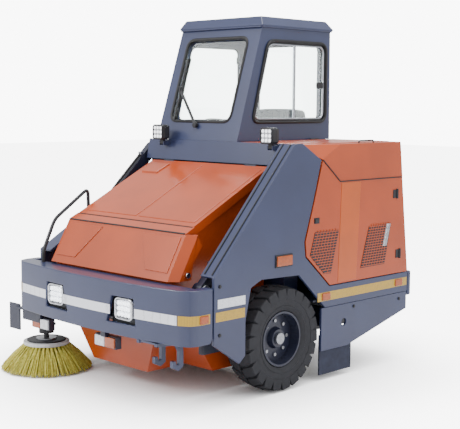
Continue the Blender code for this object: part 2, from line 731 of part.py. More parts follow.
def wiper():
    pivot_z = WINDOW_LOW - 0.018
    pivot = (CAB_X - 0.016, front_y(pivot_z) - 0.012, pivot_z)
    tip_x, tip_z = CAB_X - 0.227, 1.676
    def on_glass(x, z, off):
        return Vector((x, front_y(z) - off, z))
    across = 0.008
    arm_rings = []
    for x, z, off in ((pivot[0], pivot_z, 0.012), (tip_x, tip_z, 0.012)):
        along = Vector((tip_x - pivot[0], 0, tip_z - pivot_z)).normalized()
        side = Vector((along.z, 0, -along.x)) * across
        arm_rings.append([
            on_glass(x + side.x, z + side.z, off), on_glass(x - side.x, z - side.z, off),
            on_glass(x - side.x, z - side.z, off + 0.006), on_glass(x + side.x, z + side.z, off + 0.006),
        ])
    arm = add("wiper_arm", skin_rings(arm_rings), BLACK, pivot=pivot)
    join(
        arm,
        rod(
            (pivot[0], pivot_z), 0.014, "y", pivot[1] - 0.010, front_y(pivot_z - 0.014) - GAP,
            steps=16
        )
    )
    blade = []
    for z in (1.482, 1.872):
        blade.append([
            on_glass(tip_x - 0.006, z, -0.0135), on_glass(tip_x + 0.006, z, -0.0135),
            on_glass(tip_x + 0.006, z, 0.0112), on_glass(tip_x - 0.006, z, 0.0112),
        ])
    add("wiper_blade", skin_rings(blade), RUBBER, pivot=(tip_x, front_y(tip_z), tip_z))


# ---- driver's place -----------------------------------------------------------------------------
def along_column(distance, y_offset, x):
    """A point on the steering column's axis, moved square to it."""
    foot = Vector((0.0, *COLUMN_FOOT))
    top = Vector((0.0, *COLUMN_TOP))
    up = (top - foot).normalized()
    forward = Vector((0.0, up.z, -up.y))
    return foot + up * distance + forward * y_offset + Vector((CAB_X + x, 0.0, 0.0))


def column_ring(distance, radius, steps=16):
    return [
        along_column(
            distance, radius * math.sin(math.tau * i / steps), radius * math.cos(math.tau * i / steps)
        )
        for i in range(steps)
    ]


def driver_place():
    floor = FOOTWELL_FLOOR + 0.010 + GAP
    console = [(0.2045, floor), (0.400, floor), (0.430, 1.130), (0.370, 1.200), (0.2045, 1.200)]
    column = add("steering_console", prism(console, "x", CAB_X - 0.100, CAB_X + 0.100), BLACK)
    length = (Vector(COLUMN_TOP) - Vector(COLUMN_FOOT)).length
    join(column, skin_rings([column_ring(0.25, 0.030), column_ring(length - 0.012, 0.030)]))

    rim_tube = 0.014
    rings = []
    for i in range(28):
        angle = math.tau * i / 28
        ring = []
        for k in range(8):
            turn = math.tau * k / 8
            reach = STEERING_R + rim_tube * math.cos(turn)
            ring.append(
                along_column(
                    length + rim_tube * math.sin(turn), reach * math.sin(angle),
                    reach * math.cos(angle)
                )
            )
        rings.append(ring)
    centre = tuple(along_column(length, 0.0, 0.0))
    wheel = add("steering_wheel", skin_rings(rings, closed=True), BLACK, pivot=centre)
    join(
        wheel,
        skin_rings([column_ring(length - 0.012 + GAP, 0.040), column_ring(length + 0.020, 0.034)])
    )
    for angle in (math.radians(90), math.radians(210), math.radians(330)):
        ends = []
        for reach in (0.020, STEERING_R):
            ring = []
            for across, height in ((-0.012, -0.005), (0.012, -0.005), (0.012, 0.005), (-0.012, 0.005)):
                forward = reach * math.sin(angle) + across * math.cos(angle)
                sideways = reach * math.cos(angle) - across * math.sin(angle)
                ring.append(along_column(length + height, forward, sideways))
            ends.append(ring)
        join(wheel, skin_rings(ends))

    base = add("seat_base", block((CAB_X - 0.200, CAB_X + 0.200), (0.600, 0.960), (floor, 0.985)), BLACK)
    soften(base, 0.010)
    cushion_low = 0.985 + GAP
    cushion = add(
        "seat", block((CAB_X - 0.235, CAB_X + 0.235), (0.545, 0.900), (cushion_low, SEAT_TOP)), VINYL,
        pivot=(CAB_X, 0.70, cushion_low),
    )
    soften(cushion, 0.020)
    back = [(0.880, cushion_low + 0.030), (0.975, cushion_low + 0.030), (0.985, 1.560), (0.930, 1.560)]
    join(cushion, prism(round_corners(back, 0.018), "x", CAB_X - 0.220, CAB_X + 0.220))


# ---- hopper ----------------------------------------------------------------------------
LID_SLOPE = (LID_REAR[1] - LID_FRONT[1]) / (LID_REAR[0] - LID_FRONT[0])
LID_DROP = LID_T * math.sqrt(1 + LID_SLOPE ** 2)


def lid_z(y):
    return LID_FRONT[1] + LID_SLOPE * (y - LID_FRONT[0])


def tub_top(y):
    return lid_z(y) - LID_DROP - 0.0006


def hopper_tub():
    front = LID_FRONT[0] - 0.001
    top = [(-0.634, 0.650), (-0.5085, 0.8720), (front, tub_top(front)), (0.120, tub_top(0.120))]
    body = [(-0.640, 0.370), (-0.640, 0.640)] + top + [(0.100, 0.125), (-0.300, 0.125), (-0.450, 0.360)]
    tub = add("hopper_tub", prism(body, "x", -HOPPER_HALF, HOPPER_HALF), ORANGE)
    lip = [
        (-0.525, 0.9025), (-0.525, 0.906), (front, lid_z(front) - 0.001), (front, tub_top(front) - 0.004),
        (-0.470, 0.9010), (-0.500, 0.9025),
    ]
    join(tub, prism(lip, "x", -NOSE_HALF, NOSE_HALF))

    def chute(wall):
        rings = []
        foot = (0.112 + wall, 0.229 - HOPPER_HALF, HOPPER_HALF - 0.263, -0.545)
        head = (0.395, 0.155 - HOPPER_HALF, HOPPER_HALF - 0.085, -0.6395)
        for z, left, right, front in (foot, head):
            rings.append([
                Vector((left + wall, front + wall, z)), Vector((right - wall, front + wall, z)),
                Vector((right - wall, -0.10, z)), Vector((left + wall, -0.10, z)),
            ])
        return skin_rings(rings)

    join(tub, chute(0.0))
    inner = inset(body, HOPPER_WALL)
    inside = HOPPER_HALF - HOPPER_WALL
    cut(tub, prism(inner, "x", -inside, inside))
    cut(tub, chute(HOPPER_WALL))
    rim = inside - 0.022
    lid_hole = [
        (-0.430, lid_z(-0.430) - 0.12), (0.085, lid_z(0.085) - 0.12), (0.085, 1.40), (-0.430, 1.20)
    ]
    cut(tub, prism(lid_hole, "x", -rim, rim))
    along = (Vector(NOSE_TOP) - Vector(NOSE_FOOT)).normalized()
    outward = Vector((-along.y, along.x)) * 0.05
    low = Vector((-0.634, 0.650)) + along * 0.030
    high = Vector((-0.634, 0.650)) + along * 0.225
    nose_hole = [tuple(low - outward), tuple(high - outward), tuple(high + outward), tuple(low + outward)]
    cut(tub, prism(nose_hole, "x", -rim, rim))
    inlet = HOPPER_HALF - 0.045
    cut(tub, block((-inlet, inlet), (0.050, 0.200), (0.150, 0.370)))
    for x in (0.055 - HOPPER_HALF, HOPPER_HALF - 0.135):
        lug = link_outline(TIP_AXIS, 0.034, (-0.600, 0.450), 0.034)
        lug = [(min(y, -0.635), z) for y, z in lug]
        join(tub, prism(lug, "x", x, x + 0.030))
    cut(tub, rod(TIP_AXIS, TUBE_R + RUNNING, "x", -0.60, 0.60, steps=24))
    for side in (-1, 1):
        join(
            tub,
            rod(
                NOSE_PIN, 0.010, "x",
                *sorted((side * (HOPPER_HALF - 0.003), side * (NOSE_SIDE + 0.006))), steps=16
            )
        )


NOSE_PIN = (-0.560, 0.694)


def hopper_lid():
    """A folded lid hinged along its rear edge, over the hopper's mouth."""
    top = [LID_FRONT, LID_REAR]
    under = [(LID_REAR[0], LID_REAR[1] - LID_DROP), (LID_FRONT[0], LID_FRONT[1] - LID_DROP)]
    lid = add(
        "hopper_lid", prism(top + under, "x", -LID_HALF, LID_HALF), ORANGE, pivot=(0.0, 0.132, 1.222)
    )
    skirt_outline = [
        (LID_FRONT[0], LID_FRONT[1] - 0.004), (LID_REAR[0] - 0.012, LID_REAR[1] - 0.012),
        (LID_REAR[0] - 0.012, LID_REAR[1] - 0.060), (LID_FRONT[0], LID_FRONT[1] - 0.052),
    ]
    for side in (-1, 1):
        join(
            lid,
            prism(
                skirt_outline, "x", *sorted((side * (LID_HALF - 0.012), side * (LID_HALF - 0.0005)))
            )
        )


def nose_cover():
    """The bolted nose: sloping face, chamfered corners and side cheeks."""
    face = [
        NOSE_FOOT, NOSE_TOP, (-0.5225, 0.9015), (-0.486, 0.895), (-0.448, 0.838), (-0.515, 0.750),
        (-0.530, 0.664)
    ]
    set_back = [(y + NOSE_CHAMFER if y < -0.5 and i < 3 else y, z) for i, (y, z) in enumerate(face)]
    hollow = [
        (NOSE_FOOT[0] + 0.0135, 0.600), (NOSE_FOOT[0] + 0.0135, NOSE_FOOT[1]), (-0.5115, 0.8860),
        (-0.5115, 1.00),
        (-0.300, 1.00), (-0.300, 0.600),
    ]
    sections = [(-NOSE_SIDE, set_back), (-NOSE_HALF, face), (NOSE_HALF, face), (NOSE_SIDE, set_back)]
    mesh = skin_rings([[Vector((x, y, z)) for y, z in outline] for x, outline in sections])
    cover = add("nose_cover", mesh, ORANGE, pivot=(0.0, *NOSE_PIN))
    cheek = NOSE_SIDE - 0.010
    shallow = [
        (y + NOSE_CHAMFER - 0.006 if i in (0, 1, 2, 3) else y, z) for i, (y, z) in enumerate(hollow)
    ]
    wide = NOSE_HALF - 0.006
    cutter = [(-cheek, shallow), (-wide, hollow), (wide, hollow), (cheek, shallow)]
    cut(cover, skin_rings([[Vector((x, y, z)) for y, z in outline] for x, outline in cutter]))
    cut(cover, rod(NOSE_PIN, 0.010 + RUNNING, "x", -0.70, 0.70, steps=16))


def dust_filter():
    """The panel filter that hangs from ledges under the lid."""
    front, rear = -0.300, 0.080
    def below(y, drop):
        return (y, tub_top(y) - drop)
    outline = [below(front, 0.0135), below(rear, 0.0135), below(rear, 0.090), below(front, 0.090)]
    half = HOPPER_HALF - HOPPER_WALL - GAP
    panel = add("dust_filter", prism(outline, "x", -half, half), FILTER)
    for i in range(9):
        y = front + 0.035 + 0.036 * i
        groove = [below(y, 0.125), below(y + 0.012, 0.125), below(y + 0.012, 0.060), below(y, 0.060)]
        cut(panel, prism(groove, "x", -half + 0.03, half - 0.03))


def bumper_face(x):
    return BUMPER_FRONT + BUMPER_SWEEP * (x / BUMPER_BEND) ** 2


def bumper_plan(offset, back):
    """Half plan of the bumper's outer line, moved inwards, then mirrored."""
    half = [(HALF_WIDTH - offset, back)]
    half += [(HALF_WIDTH - offset, -0.665), (HALF_WIDTH - 0.018 - offset * 0.7, -0.712 + offset * 0.7)]
    steps = 6
    for i in range(steps + 1):
        x = BUMPER_BEND * (1 - i / steps)
        half.append((x, bumper_face(x) + offset))
    return half + mirrored(half[:-1])


def bumper():
    piece = add("front_bumper", prism(bumper_plan(0.0, BUMPER_BACK), "z", BUMPER_LOW, BUMPER_HIGH), GREY)
    cut(piece, prism(bumper_plan(BUMPER_WALL, -0.500), "z", BUMPER_LOW - 0.05, BUMPER_HIGH - 0.012))
    rear = block((-0.70, 0.70), (-0.640 - GAP, -0.50), (BUMPER_HIGH - 0.05, BUMPER_HIGH + 0.05))
    cut(piece, rear)
    heel = [(BUMPER_BACK + 0.0055, 0.4021), (BUMPER_BACK - 0.0215, 0.3525), (BUMPER_BACK + 0.020, 0.3525)]
    cut(piece, prism(heel, "x", -0.80, 0.80))
    for side in (-1, 1):
        recess = [
            (side * HEADLIGHT_X - side * 0.125, 0.430), (side * HEADLIGHT_X + side * 0.095, 0.430),
            (side * HEADLIGHT_X + side * 0.080, 0.572), (side * HEADLIGHT_X - side * 0.085, 0.572),
        ]
        cut(piece, prism(recess, "y", -0.90, -0.72))


def headlight(name, side):
    """A lamp on a back plate that follows the inside of the bumper."""
    plan = []
    for x in (-0.145, -0.075, 0.0, 0.075, 0.120):
        at = side * (HEADLIGHT_X + x)
        plan.append((at, bumper_face(at) + BUMPER_WALL + GAP))
    back = [(x, y + 0.008) for x, y in reversed(plan)]
    lamp = add(name, prism(plan + back, "z", 0.415, 0.590), LAMP)
    x = side * HEADLIGHT_X
    front = bumper_face(x) + 0.012
    reflector = rounded((x - 0.068, 0.440), (x + 0.068, 0.560), 0.025, 3)
    join(lamp, prism(reflector, "y", front, front + 0.070))


def carrier():
    """The tipping tube with its two side links and the pins in the lift arms."""
    inner = ARM_X - 0.020
    frame = add("hopper_carrier", rod(TIP_AXIS, TUBE_R, "x", -inner, inner, steps=24), DARK_STEEL)
    for side in (-1, 1):
        plate = sorted((side * (inner - 0.003), side * (ARM_X - 0.004)))
        join(frame, prism(link_outline(TIP_AXIS, 0.030, ARM_TIP, 0.030), "x", *plate))
        join(
            frame,
            rod(
                ARM_TIP, 0.016, "x",
                *sorted((side * (ARM_X - 0.008), side * (ARM_X + ARM_T + 0.004))), steps=20
            )
        )


def lift_frame():
    """Both lift arms welded to the torque tube that turns in the cowl's cheeks."""
    pivot = (0.0, *ARM_HUB)
    reach = ARM_X + ARM_T - 0.006
    frame = add(
        "lift_frame", rod(ARM_HUB, HUB_SHAFT_R, "x", -reach, reach, steps=24), DARK_STEEL, pivot=pivot
    )
    for side in (-1, 1):
        span = sorted((side * ARM_X, side * (ARM_X + ARM_T)))
        join(frame, prism(link_outline(ARM_HUB, 0.036, ARM_TIP, 0.036), "x", *span))
    cut(frame, rod(ARM_TIP, 0.016 + RUNNING, "x", -0.70, -0.50, steps=20))
    cut(frame, rod(ARM_TIP, 0.016 + RUNNING, "x", 0.50, 0.70, steps=20))


def tube_through(name, points, radius, material, sides=4):
    """A bent round bar through its own points."""
    curve = bpy.data.curves.new(name, "CURVE")
    curve.dimensions = "3D"
    curve.bevel_depth = radius
    curve.bevel_resolution = sides
    curve.use_fill_caps = True
    line = curve.splines.new("POLY")
    line.points.add(len(points) - 1)
    for spot, place in zip(line.points, points):
        spot.co = (*place, 1.0)
    made = bpy.data.objects.new(name, curve)
    bpy.context.scene.collection.objects.link(made)
    made.parent = machine
    curve.materials.append(material)
    return made


def bend(points, radius, steps=5):
    """Rounds the corners of a route."""
    made = [Vector(points[0])]
    for before, here, after in zip(points, points[1:], points[2:]):
        corner = Vector(here)
        first = (Vector(before) - corner).normalized() * radius
        last = (Vector(after) - corner).normalized() * radius
        for k in range(steps + 1):
            t = k / steps
            made.append(corner + first * (1 - t) ** 2 + last * t ** 2)
    made.append(Vector(points[-1]))
    return made


def hose_guard():
    reach = -0.572
    route = [
        (-HOPPER_HALF - GAP, -0.330, 0.905), (reach, -0.330, 0.905), (reach, -0.337, 1.070),
        (reach, -0.585, 0.900), (reach, -0.668, 0.720), (reach, -0.668, BUMPER_HIGH + GAP),
    ]
    tube_through("hose_guard", bend(route, 0.035), 0.011, BLACK, 2)


def brush_guard():
    low = BUMPER_LOW - GAP
    plate = add(
        "side_brush_guard",
        block((-HALF_WIDTH - 0.125, -HALF_WIDTH - 0.015), (-0.704, -0.694), (0.215, 0.375)), GREY
    )
    join(plate, block((-HALF_WIDTH - 0.040, -HALF_WIDTH + 0.060), (-0.718, -0.694), (low - 0.014, low)))
    soften(plate, 0.002, 1)


def hook_bracket():
    """Two plate hooks on one strip, bolted up under the bumper."""
    low = BUMPER_LOW - GAP
    outline = [
        (-0.775, low), (-0.600, low), (-0.590, 0.300), (-0.590, 0.215), (-0.625, 0.195), (-0.665, 0.215),
        (-0.665, 0.250), (-0.645, 0.250), (-0.640, 0.228), (-0.618, 0.228), (-0.618, 0.300),
        (-0.640, 0.335), (-0.775, 0.345),
    ]
    bracket = add("hook_bracket", prism(outline, "x", 0.400, 0.422), GREY)
    join(
        bracket, prism(outline, "x", 0.540, 0.562),
        block((0.410, 0.550), (-0.770, -0.735), (low - 0.010, low))
    )


# ---- brushes ---------------------------------------------------------------------------
def main_brush():
    centre = (BRUSH_Y, BRUSH_R + BRUSH_CLEAR)
    profile = [
        (0.015, -BRUSH_HALF - 0.026), (0.015, -BRUSH_HALF), (BRUSH_R, -BRUSH_HALF), (BRUSH_R, BRUSH_HALF),
        (0.015, BRUSH_HALF), (0.015, BRUSH_HALF + 0.026),
    ]
    rings = [
        [point_on("x", y, z, along) for y, z in circle(centre, radius, 32)] for radius,
        along in profile
    ]
    add("main_brush", skin_rings(rings), BRISTLE, pivot=(0.0, *centre))

    yoke = add(
        "main_brush_yoke", rod((0.560, 0.325), 0.014, "x", -0.485, 0.485, steps=12), GREY,
        pivot=(0.0, *YOKE_PIVOT)
    )
    for side in (-1, 1):
        plate = sorted((side * (BRUSH_HALF + 0.006), side * (BRUSH_HALF + 0.020)))
        join(yoke, prism(link_outline(YOKE_PIVOT, 0.030, centre, 0.032), "x", *plate))
    for side in (-1, 1):
        span = sorted((side * 0.44, side * 0.52))
        cut(yoke, rod(YOKE_PIVOT, 0.012 + RUNNING, "x", *span, steps=16))
        cut(yoke, rod(centre, 0.015 + RUNNING, "x", *span, steps=20))


def side_brush():
    x, y = SIDE_BRUSH
    top = 0.300
    arm = add(
        "side_brush_arm", block((x - 0.050, -0.572), (y - 0.050, -0.370), (top + GAP, top + 0.010)),
        GREY, pivot=(x, -0.400, 0.325)
    )
    join(arm, block((-0.600, -0.572), (-0.430, -0.370), (top + GAP, 0.345)))
    cut(arm, rod((-0.400, 0.325), 0.012 + RUNNING, "x", -0.65, -0.55, steps=16))
    motor = add(
        "side_brush_motor", rod(SIDE_BRUSH, 0.045, "z", 0.215, top, steps=24), BLACK,
        pivot=(x, -0.400, 0.325)
    )
    join(motor, rod(SIDE_BRUSH, 0.016, "z", 0.188, 0.218, steps=16))
    profile = [
        (0.0, 0.1875), (0.060, 0.1875), (SIDE_DISC_R, 0.170), (SIDE_DISC_R, 0.150), (0.090, 0.142),
        (0.0, 0.142)
    ]
    rings = [
        [point_on("z", px, py, z) for px, py in circle(SIDE_BRUSH, max(r, 0.002), 40)] for r,
        z in profile
    ]
    brush = add("side_brush", skin_rings(rings), BRISTLE, pivot=(x, y, 0.15))
    tufts = [
        (SIDE_DISC_R - 0.004, 0.160), (SIDE_DISC_R + 0.010, 0.150), (SIDE_BRUSH_R, 0.022),
        (SIDE_BRUSH_R - 0.012, BRUSH_CLEAR), (0.130, 0.012), (0.092, 0.152),
    ]
    join(brush, turned(tufts, SIDE_BRUSH, "z", 40))


# ---- wheels ----------------------------------------------------------------------------
def tyre_profile(radius, seat, width, middle, side=1):
    half = width / 2
    points = [
        (seat, -half * 0.78), (seat + 0.035, -half * 0.95), (radius - 0.060, -half),
        (radius - 0.018, -half * 0.93),
        (radius, -half * 0.72), (radius, half * 0.72), (radius - 0.018, half * 0.93),
        (radius - 0.060, half),
        (seat + 0.035, half * 0.95), (seat, half * 0.78),
    ]
    return [(r, middle + side * h) for r, h in points]


def front_wheel(label, side):
    middle = side * (TYRE_OUT_X - TYRE_W / 2)
    centre = (0.0, WHEEL_R)
    pivot = (middle, 0.0, WHEEL_R)
    seat = RIM_R
    add(
        f"front_tyre_{label}",
        turned(tyre_profile(WHEEL_R, seat + GAP, TYRE_W, middle), centre, "x", 40), RUBBER, pivot,
        True
    )
    half = TYRE_W / 2 * 0.78
    bore = AXLE_R + RUNNING
    rim = [
        (bore, middle - side * 0.020), (0.060, middle - side * 0.020), (0.060, middle - side * 0.004),
        (seat - 0.016, middle - side * 0.010),
        (seat - 0.016, middle - side * half), (seat, middle - side * half), (seat, middle + side * half),
        (seat - 0.012, middle + side * half), (seat - 0.016, middle + side * 0.004),
        (0.062, middle + side * 0.010),
        (0.050, middle + side * 0.040), (bore, middle + side * 0.040),
    ]
    add(f"front_rim_{label}", turned(rim, centre, "x", 32), DARK_STEEL, pivot, True)


def rear_wheel():
    centre = (REAR_WHEEL_Y, REAR_WHEEL_R)
    pivot = (0.0, REAR_WHEEL_Y, REAR_WHEEL_R)
    seat = REAR_RIM_R
    add(
        "rear_tyre",
        turned(tyre_profile(REAR_WHEEL_R, seat + GAP, REAR_TYRE_W, 0.0), centre, "x", 36), RUBBER,
        pivot, True
    )
    half = REAR_TYRE_W / 2 * 0.78
    rim = [
        (0.0158, -0.060), (0.030, -0.060), (0.034, -0.012), (seat - 0.014, -0.012),
        (seat - 0.014, -half), (seat, -half), (seat, half), (seat - 0.014, half),
        (seat - 0.014, 0.012), (0.034, 0.012), (0.030, 0.060), (0.0158, 0.060),
    ]
    add("rear_rim", turned(rim, centre, "x", 28), DARK_STEEL, pivot, True)
    cheek = REAR_TYRE_W / 2 + 0.014
    leg_t = 0.012
    crown = (STEER_BEAM_LOW - GAP - 0.014, STEER_BEAM_LOW - GAP)
    fork = add(
        "steer_fork", block(
            (-cheek - leg_t, cheek + leg_t), (REAR_WHEEL_Y - 0.055, REAR_WHEEL_Y + 0.055), crown
        ),
        DARK_STEEL, pivot=(0.0, REAR_WHEEL_Y, STEER_BEAM_LOW),
    )
    leg = [
        (REAR_WHEEL_Y - 0.050, crown[1] - 0.002), (REAR_WHEEL_Y - 0.028, REAR_WHEEL_R - 0.020),
        (REAR_WHEEL_Y, REAR_WHEEL_R - 0.030), (REAR_WHEEL_Y + 0.028, REAR_WHEEL_R - 0.020),
        (REAR_WHEEL_Y + 0.050, crown[1] - 0.002),
    ]
    for side in (-1, 1):
        join(fork, prism(leg, "x", *sorted((side * cheek, side * (cheek + leg_t)))))
    join(
        fork,
        rod(centre, 0.015, "x", -cheek - 0.004, cheek + 0.004, steps=20),
        rod((0.0, REAR_WHEEL_Y), KING_PIN_R, "z", crown[0] + 0.005, CROSS_HIGH + FLOOR_T + 0.004),
    )


# ---- assembly --------------------------------------------------------------------------
chassis()
for label, sign in (("left", 1), ("right", -1)):
    side_panel(f"{label}_side_panel", sign, HIGH_EDGE if sign > 0 else LOW_EDGE)
    lower_panel(f"{label}_lower_panel", sign)
    skirt(f"{label}_dust_skirt", sign)
    headlight(f"headlight_{label}", sign)
    front_wheel(label, sign)
rear_pieces()
hood_lid()
service_door()
engine_bay()
cowl()
work_light("work_light_right", WORK_LIGHT_X[0])
work_light("work_light_left", WORK_LIGHT_X[1])
footwell()
pedal("brake_pedal", PEDAL_X[1])
pedal("accelerator_pedal", PEDAL_X[0])
cab()
cab_door()
wiper()
driver_place()
hopper_tub()
hopper_lid()
nose_cover()
dust_filter()
bumper()
carrier()
lift_frame()
hose_guard()
brush_guard()
hook_bracket()
main_brush()
side_brush()
rear_wheel()
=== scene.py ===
# %% [markdown]
# # A ride-on sweeper
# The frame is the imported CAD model: it gives every solid its size and place. This
# lesson dresses it. Finishes go on the solids whose shape is right, and pieces
# that the solids only stand in for, such as tyres, brushes and lamps, are
# modelled here and ride on the same bodies.

import json
import math
import random

import bpy
from mathutils import Matrix, Vector


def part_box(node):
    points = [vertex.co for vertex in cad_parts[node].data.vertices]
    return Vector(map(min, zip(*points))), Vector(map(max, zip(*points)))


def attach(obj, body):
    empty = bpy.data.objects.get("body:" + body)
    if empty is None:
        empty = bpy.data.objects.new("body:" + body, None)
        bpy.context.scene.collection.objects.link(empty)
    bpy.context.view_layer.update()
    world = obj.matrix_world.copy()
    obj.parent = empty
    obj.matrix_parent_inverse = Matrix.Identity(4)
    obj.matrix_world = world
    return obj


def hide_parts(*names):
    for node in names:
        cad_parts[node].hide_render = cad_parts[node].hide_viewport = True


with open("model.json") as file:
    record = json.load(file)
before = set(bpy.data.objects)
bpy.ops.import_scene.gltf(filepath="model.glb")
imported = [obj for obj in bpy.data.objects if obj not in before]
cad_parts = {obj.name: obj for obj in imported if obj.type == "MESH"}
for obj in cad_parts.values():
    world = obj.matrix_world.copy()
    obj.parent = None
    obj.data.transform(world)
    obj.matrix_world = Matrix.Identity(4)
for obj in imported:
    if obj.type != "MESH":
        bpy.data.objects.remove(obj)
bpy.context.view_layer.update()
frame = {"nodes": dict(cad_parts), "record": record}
NODES = frame["nodes"]
BODY_OF = {
    node: body
    for body, members in frame["record"]["behaviour"]["bodies"].items()
    for node in members
}
SLOT_OF = {entry["node"]: entry["material_slot"] for entry in frame["record"]["subparts"]}

# %% [markdown]
# Places on a vehicle are easiest to give from its axle: x from the middle, y from
# the front axle, z from the ground. Two tyres of the CAD model say where that is.

# %% Where the axle is
tyre_left_low, tyre_left_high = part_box("front_tyre_left")
tyre_right_low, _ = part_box("front_tyre_right")
MIDDLE_X = (tyre_left_high[0] + tyre_right_low[0]) / 2
AXLE_Y = (tyre_left_low[1] + tyre_left_high[1]) / 2
CAB_X = -0.16
WHEEL_X, WHEEL_R = 0.6605, 0.2955
SIDES = (("left", 1), ("right", -1))
print("axle at", round(MIDDLE_X, 4), round(AXLE_Y, 4))


def at(x, y, z):
    """A place given from the axle, in the frame."""
    return Vector((x + MIDDLE_X, y + AXLE_Y, z))


# %% [markdown]
# Operators act on whatever is selected, so every piece starts from a clean
# selection, and every finished piece has its place in its mesh.

# %% Modelling helpers
def pick(*things):
    """Selects only these objects, or none, and makes the last one active."""
    if bpy.context.mode != "OBJECT":
        bpy.ops.object.mode_set(mode="OBJECT")
    bpy.ops.object.select_all(action="DESELECT")
    for thing in things:
        thing.select_set(True)
        bpy.context.view_layer.objects.active = thing


def settle(piece, name):
    """Names the piece and moves its place, turn and scale into its mesh."""
    pick(piece)
    piece.name = name
    bpy.ops.object.transform_apply(location=True, rotation=True, scale=True)
    return piece


def face_out():
    """Turns all faces outwards and leaves edit mode."""
    bpy.ops.mesh.select_all(action="SELECT")
    bpy.ops.mesh.normals_make_consistent(inside=False)
    bpy.ops.object.mode_set(mode="OBJECT")


def round_edges(piece, width, segments=2, angle=35):
    """Rounds the sharp edges, as a press or a mould leaves them."""
    pick(piece)
    bevel = piece.modifiers.new("rounded", "BEVEL")
    bevel.width = width
    bevel.segments = segments
    bevel.limit_method = "ANGLE"
    bevel.angle_limit = math.radians(angle)
    bevel.harden_normals = False
    bpy.ops.object.modifier_apply(modifier="rounded")
    bpy.ops.object.shade_smooth_by_angle(angle=math.radians(angle + 5))
    weighted = piece.modifiers.new("flat_faces", "WEIGHTED_NORMAL")
    weighted.weight = 100
    weighted.keep_sharp = True
    bpy.ops.object.modifier_apply(modifier="flat_faces")
    return piece


def block(name, x, y, z, edge=0.0, segments=2):
    """A box between two corners given from the axle."""
    pick()
    low, high = at(x[0], y[0], z[0]), at(x[1], y[1], z[1])
    bpy.ops.mesh.primitive_cube_add(size=1, location=(low + high) / 2)
    piece = bpy.context.object
    piece.scale = high - low
    settle(piece, name)
    return round_edges(piece, edge, segments) if edge else piece


TURN_TO = {"x": (0, math.pi / 2, 0), "y": (-math.pi / 2, 0, 0), "z": (0, 0, 0)}


def disc(name, centre, radius, depth, axis, edge=0.0, sides=24):
    """A short cylinder about an axis, its centre given from the axle."""
    pick()
    bpy.ops.mesh.primitive_cylinder_add(
        vertices=sides, radius=radius, depth=depth, location=at(*centre), rotation=TURN_TO[axis]
    )
    piece = settle(bpy.context.object, name)
    if edge:
        return round_edges(piece, edge)
    bpy.ops.object.shade_smooth_by_angle(angle=math.radians(40))
    return piece


SPREAD = {"x": lambda a, b, c: (c, a, b), "y": lambda a, b, c: (a, c, b), "z": lambda a, b, c: (a, b, c)}


def plate(name, outline, axis, low, high, edge=0.0, segments=2):
    """A flat outline, drawn on a filled circle and extruded along an axis."""
    pick()
    bpy.ops.mesh.primitive_circle_add(vertices=len(outline), fill_type="NGON")
    piece = bpy.context.object
    for vert, (a, b) in zip(piece.data.vertices, outline):
        vert.co = at(*SPREAD[axis](a, b, low))
    bpy.ops.object.mode_set(mode="EDIT")
    bpy.ops.mesh.select_all(action="SELECT")
    push = Vector(SPREAD[axis](0, 0, high - low))
    bpy.ops.mesh.extrude_region_move(TRANSFORM_OT_translate={"value": push})
    face_out()
    settle(piece, name)
    return round_edges(piece, edge, segments) if edge else piece


def placed(name, data):
    """A new object in the scene that holds this data."""
    made = bpy.data.objects.new(name, data)
    bpy.context.scene.collection.objects.link(made)
    return made


def rods(name, lines, thickness, closed=False, sides=4):
    """Round rods as one mesh; each line is its points and a radius at each."""
    curve = bpy.data.curves.new(name, "CURVE")
    curve.dimensions = "3D"
    curve.bevel_depth = thickness
    curve.bevel_resolution = sides
    curve.use_fill_caps = True
    for points, radii in lines:
        line = curve.splines.new("POLY")
        line.points.add(len(points) - 1)
        line.use_cyclic_u = closed
        for knot, place, radius in zip(line.points, points, radii):
            knot.co = (*at(*place), 1.0)
            knot.radius = radius
    pick(placed(name, curve))
    bpy.ops.object.convert(target="MESH")
    return bpy.context.object


def wire(name, points, thickness, closed=False, sides=4):
    """A round bar or bead along points given from the axle."""
    piece = rods(name, [(points, [1.0] * len(points))], thickness / 2, closed, sides)
    bpy.ops.object.shade_smooth_by_angle(angle=math.radians(60))
    return piece


def upright(x, y, z):
    """The corners of an upright rectangle that faces along y."""
    return [(x[0], y, z[0]), (x[1], y, z[0]), (x[1], y, z[1]), (x[0], y, z[1])]


def at_x(x, spots):
    """The (y, z) spots, all at one x."""
    return [(x, y, z) for y, z in spots]


def rounded_route(points, radius, closed=False, steps=6):
    """The points with each corner replaced by a curve."""
    spots = [Vector(p) for p in points]
    count = len(spots)
    made = []
    for i, here in enumerate(spots):
        if not closed and i in (0, count - 1):
            made.append(here)
            continue
        before = (spots[i - 1] - here).normalized() * radius
        after = (spots[(i + 1) % count] - here).normalized() * radius
        for k in range(steps + 1):
            t = k / steps
            made.append(here + before * (1 - t) ** 2 + after * t ** 2)
    return made


def twin(piece, matrix):
    """A copy with its own mesh, moved by a matrix."""
    copied = piece.copy()
    copied.data = piece.data.copy()
    copied.data.transform(matrix)
    bpy.context.scene.collection.objects.link(copied)
    return copied


def about(place, turn):
    """A turn about a place instead of the origin."""
    return Matrix.Translation(place) @ turn @ Matrix.Translation(-place)


def copied_round(piece, centre, count, start=0.0):
    """Copies of a piece spaced round a cross axis, in place of the first."""
    turns = [Matrix.Rotation(math.tau * (i + start) / count, 4, "X") for i in range(count)]
    copies = [twin(piece, about(at(*centre), turn)) for turn in turns]
    bpy.data.objects.remove(piece)
    return copies


def merged(name, pieces):
    """Joins pieces into one object."""
    pick(*pieces)
    bpy.ops.object.join()
    whole = bpy.context.object
    whole.name = name
    return whole


def wear(piece, material, body):
    """Gives a new piece its finish and its body."""
    piece.data.materials.clear()
    piece.data.materials.append(material)
    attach(piece, body)
    return piece


print("helpers ready")

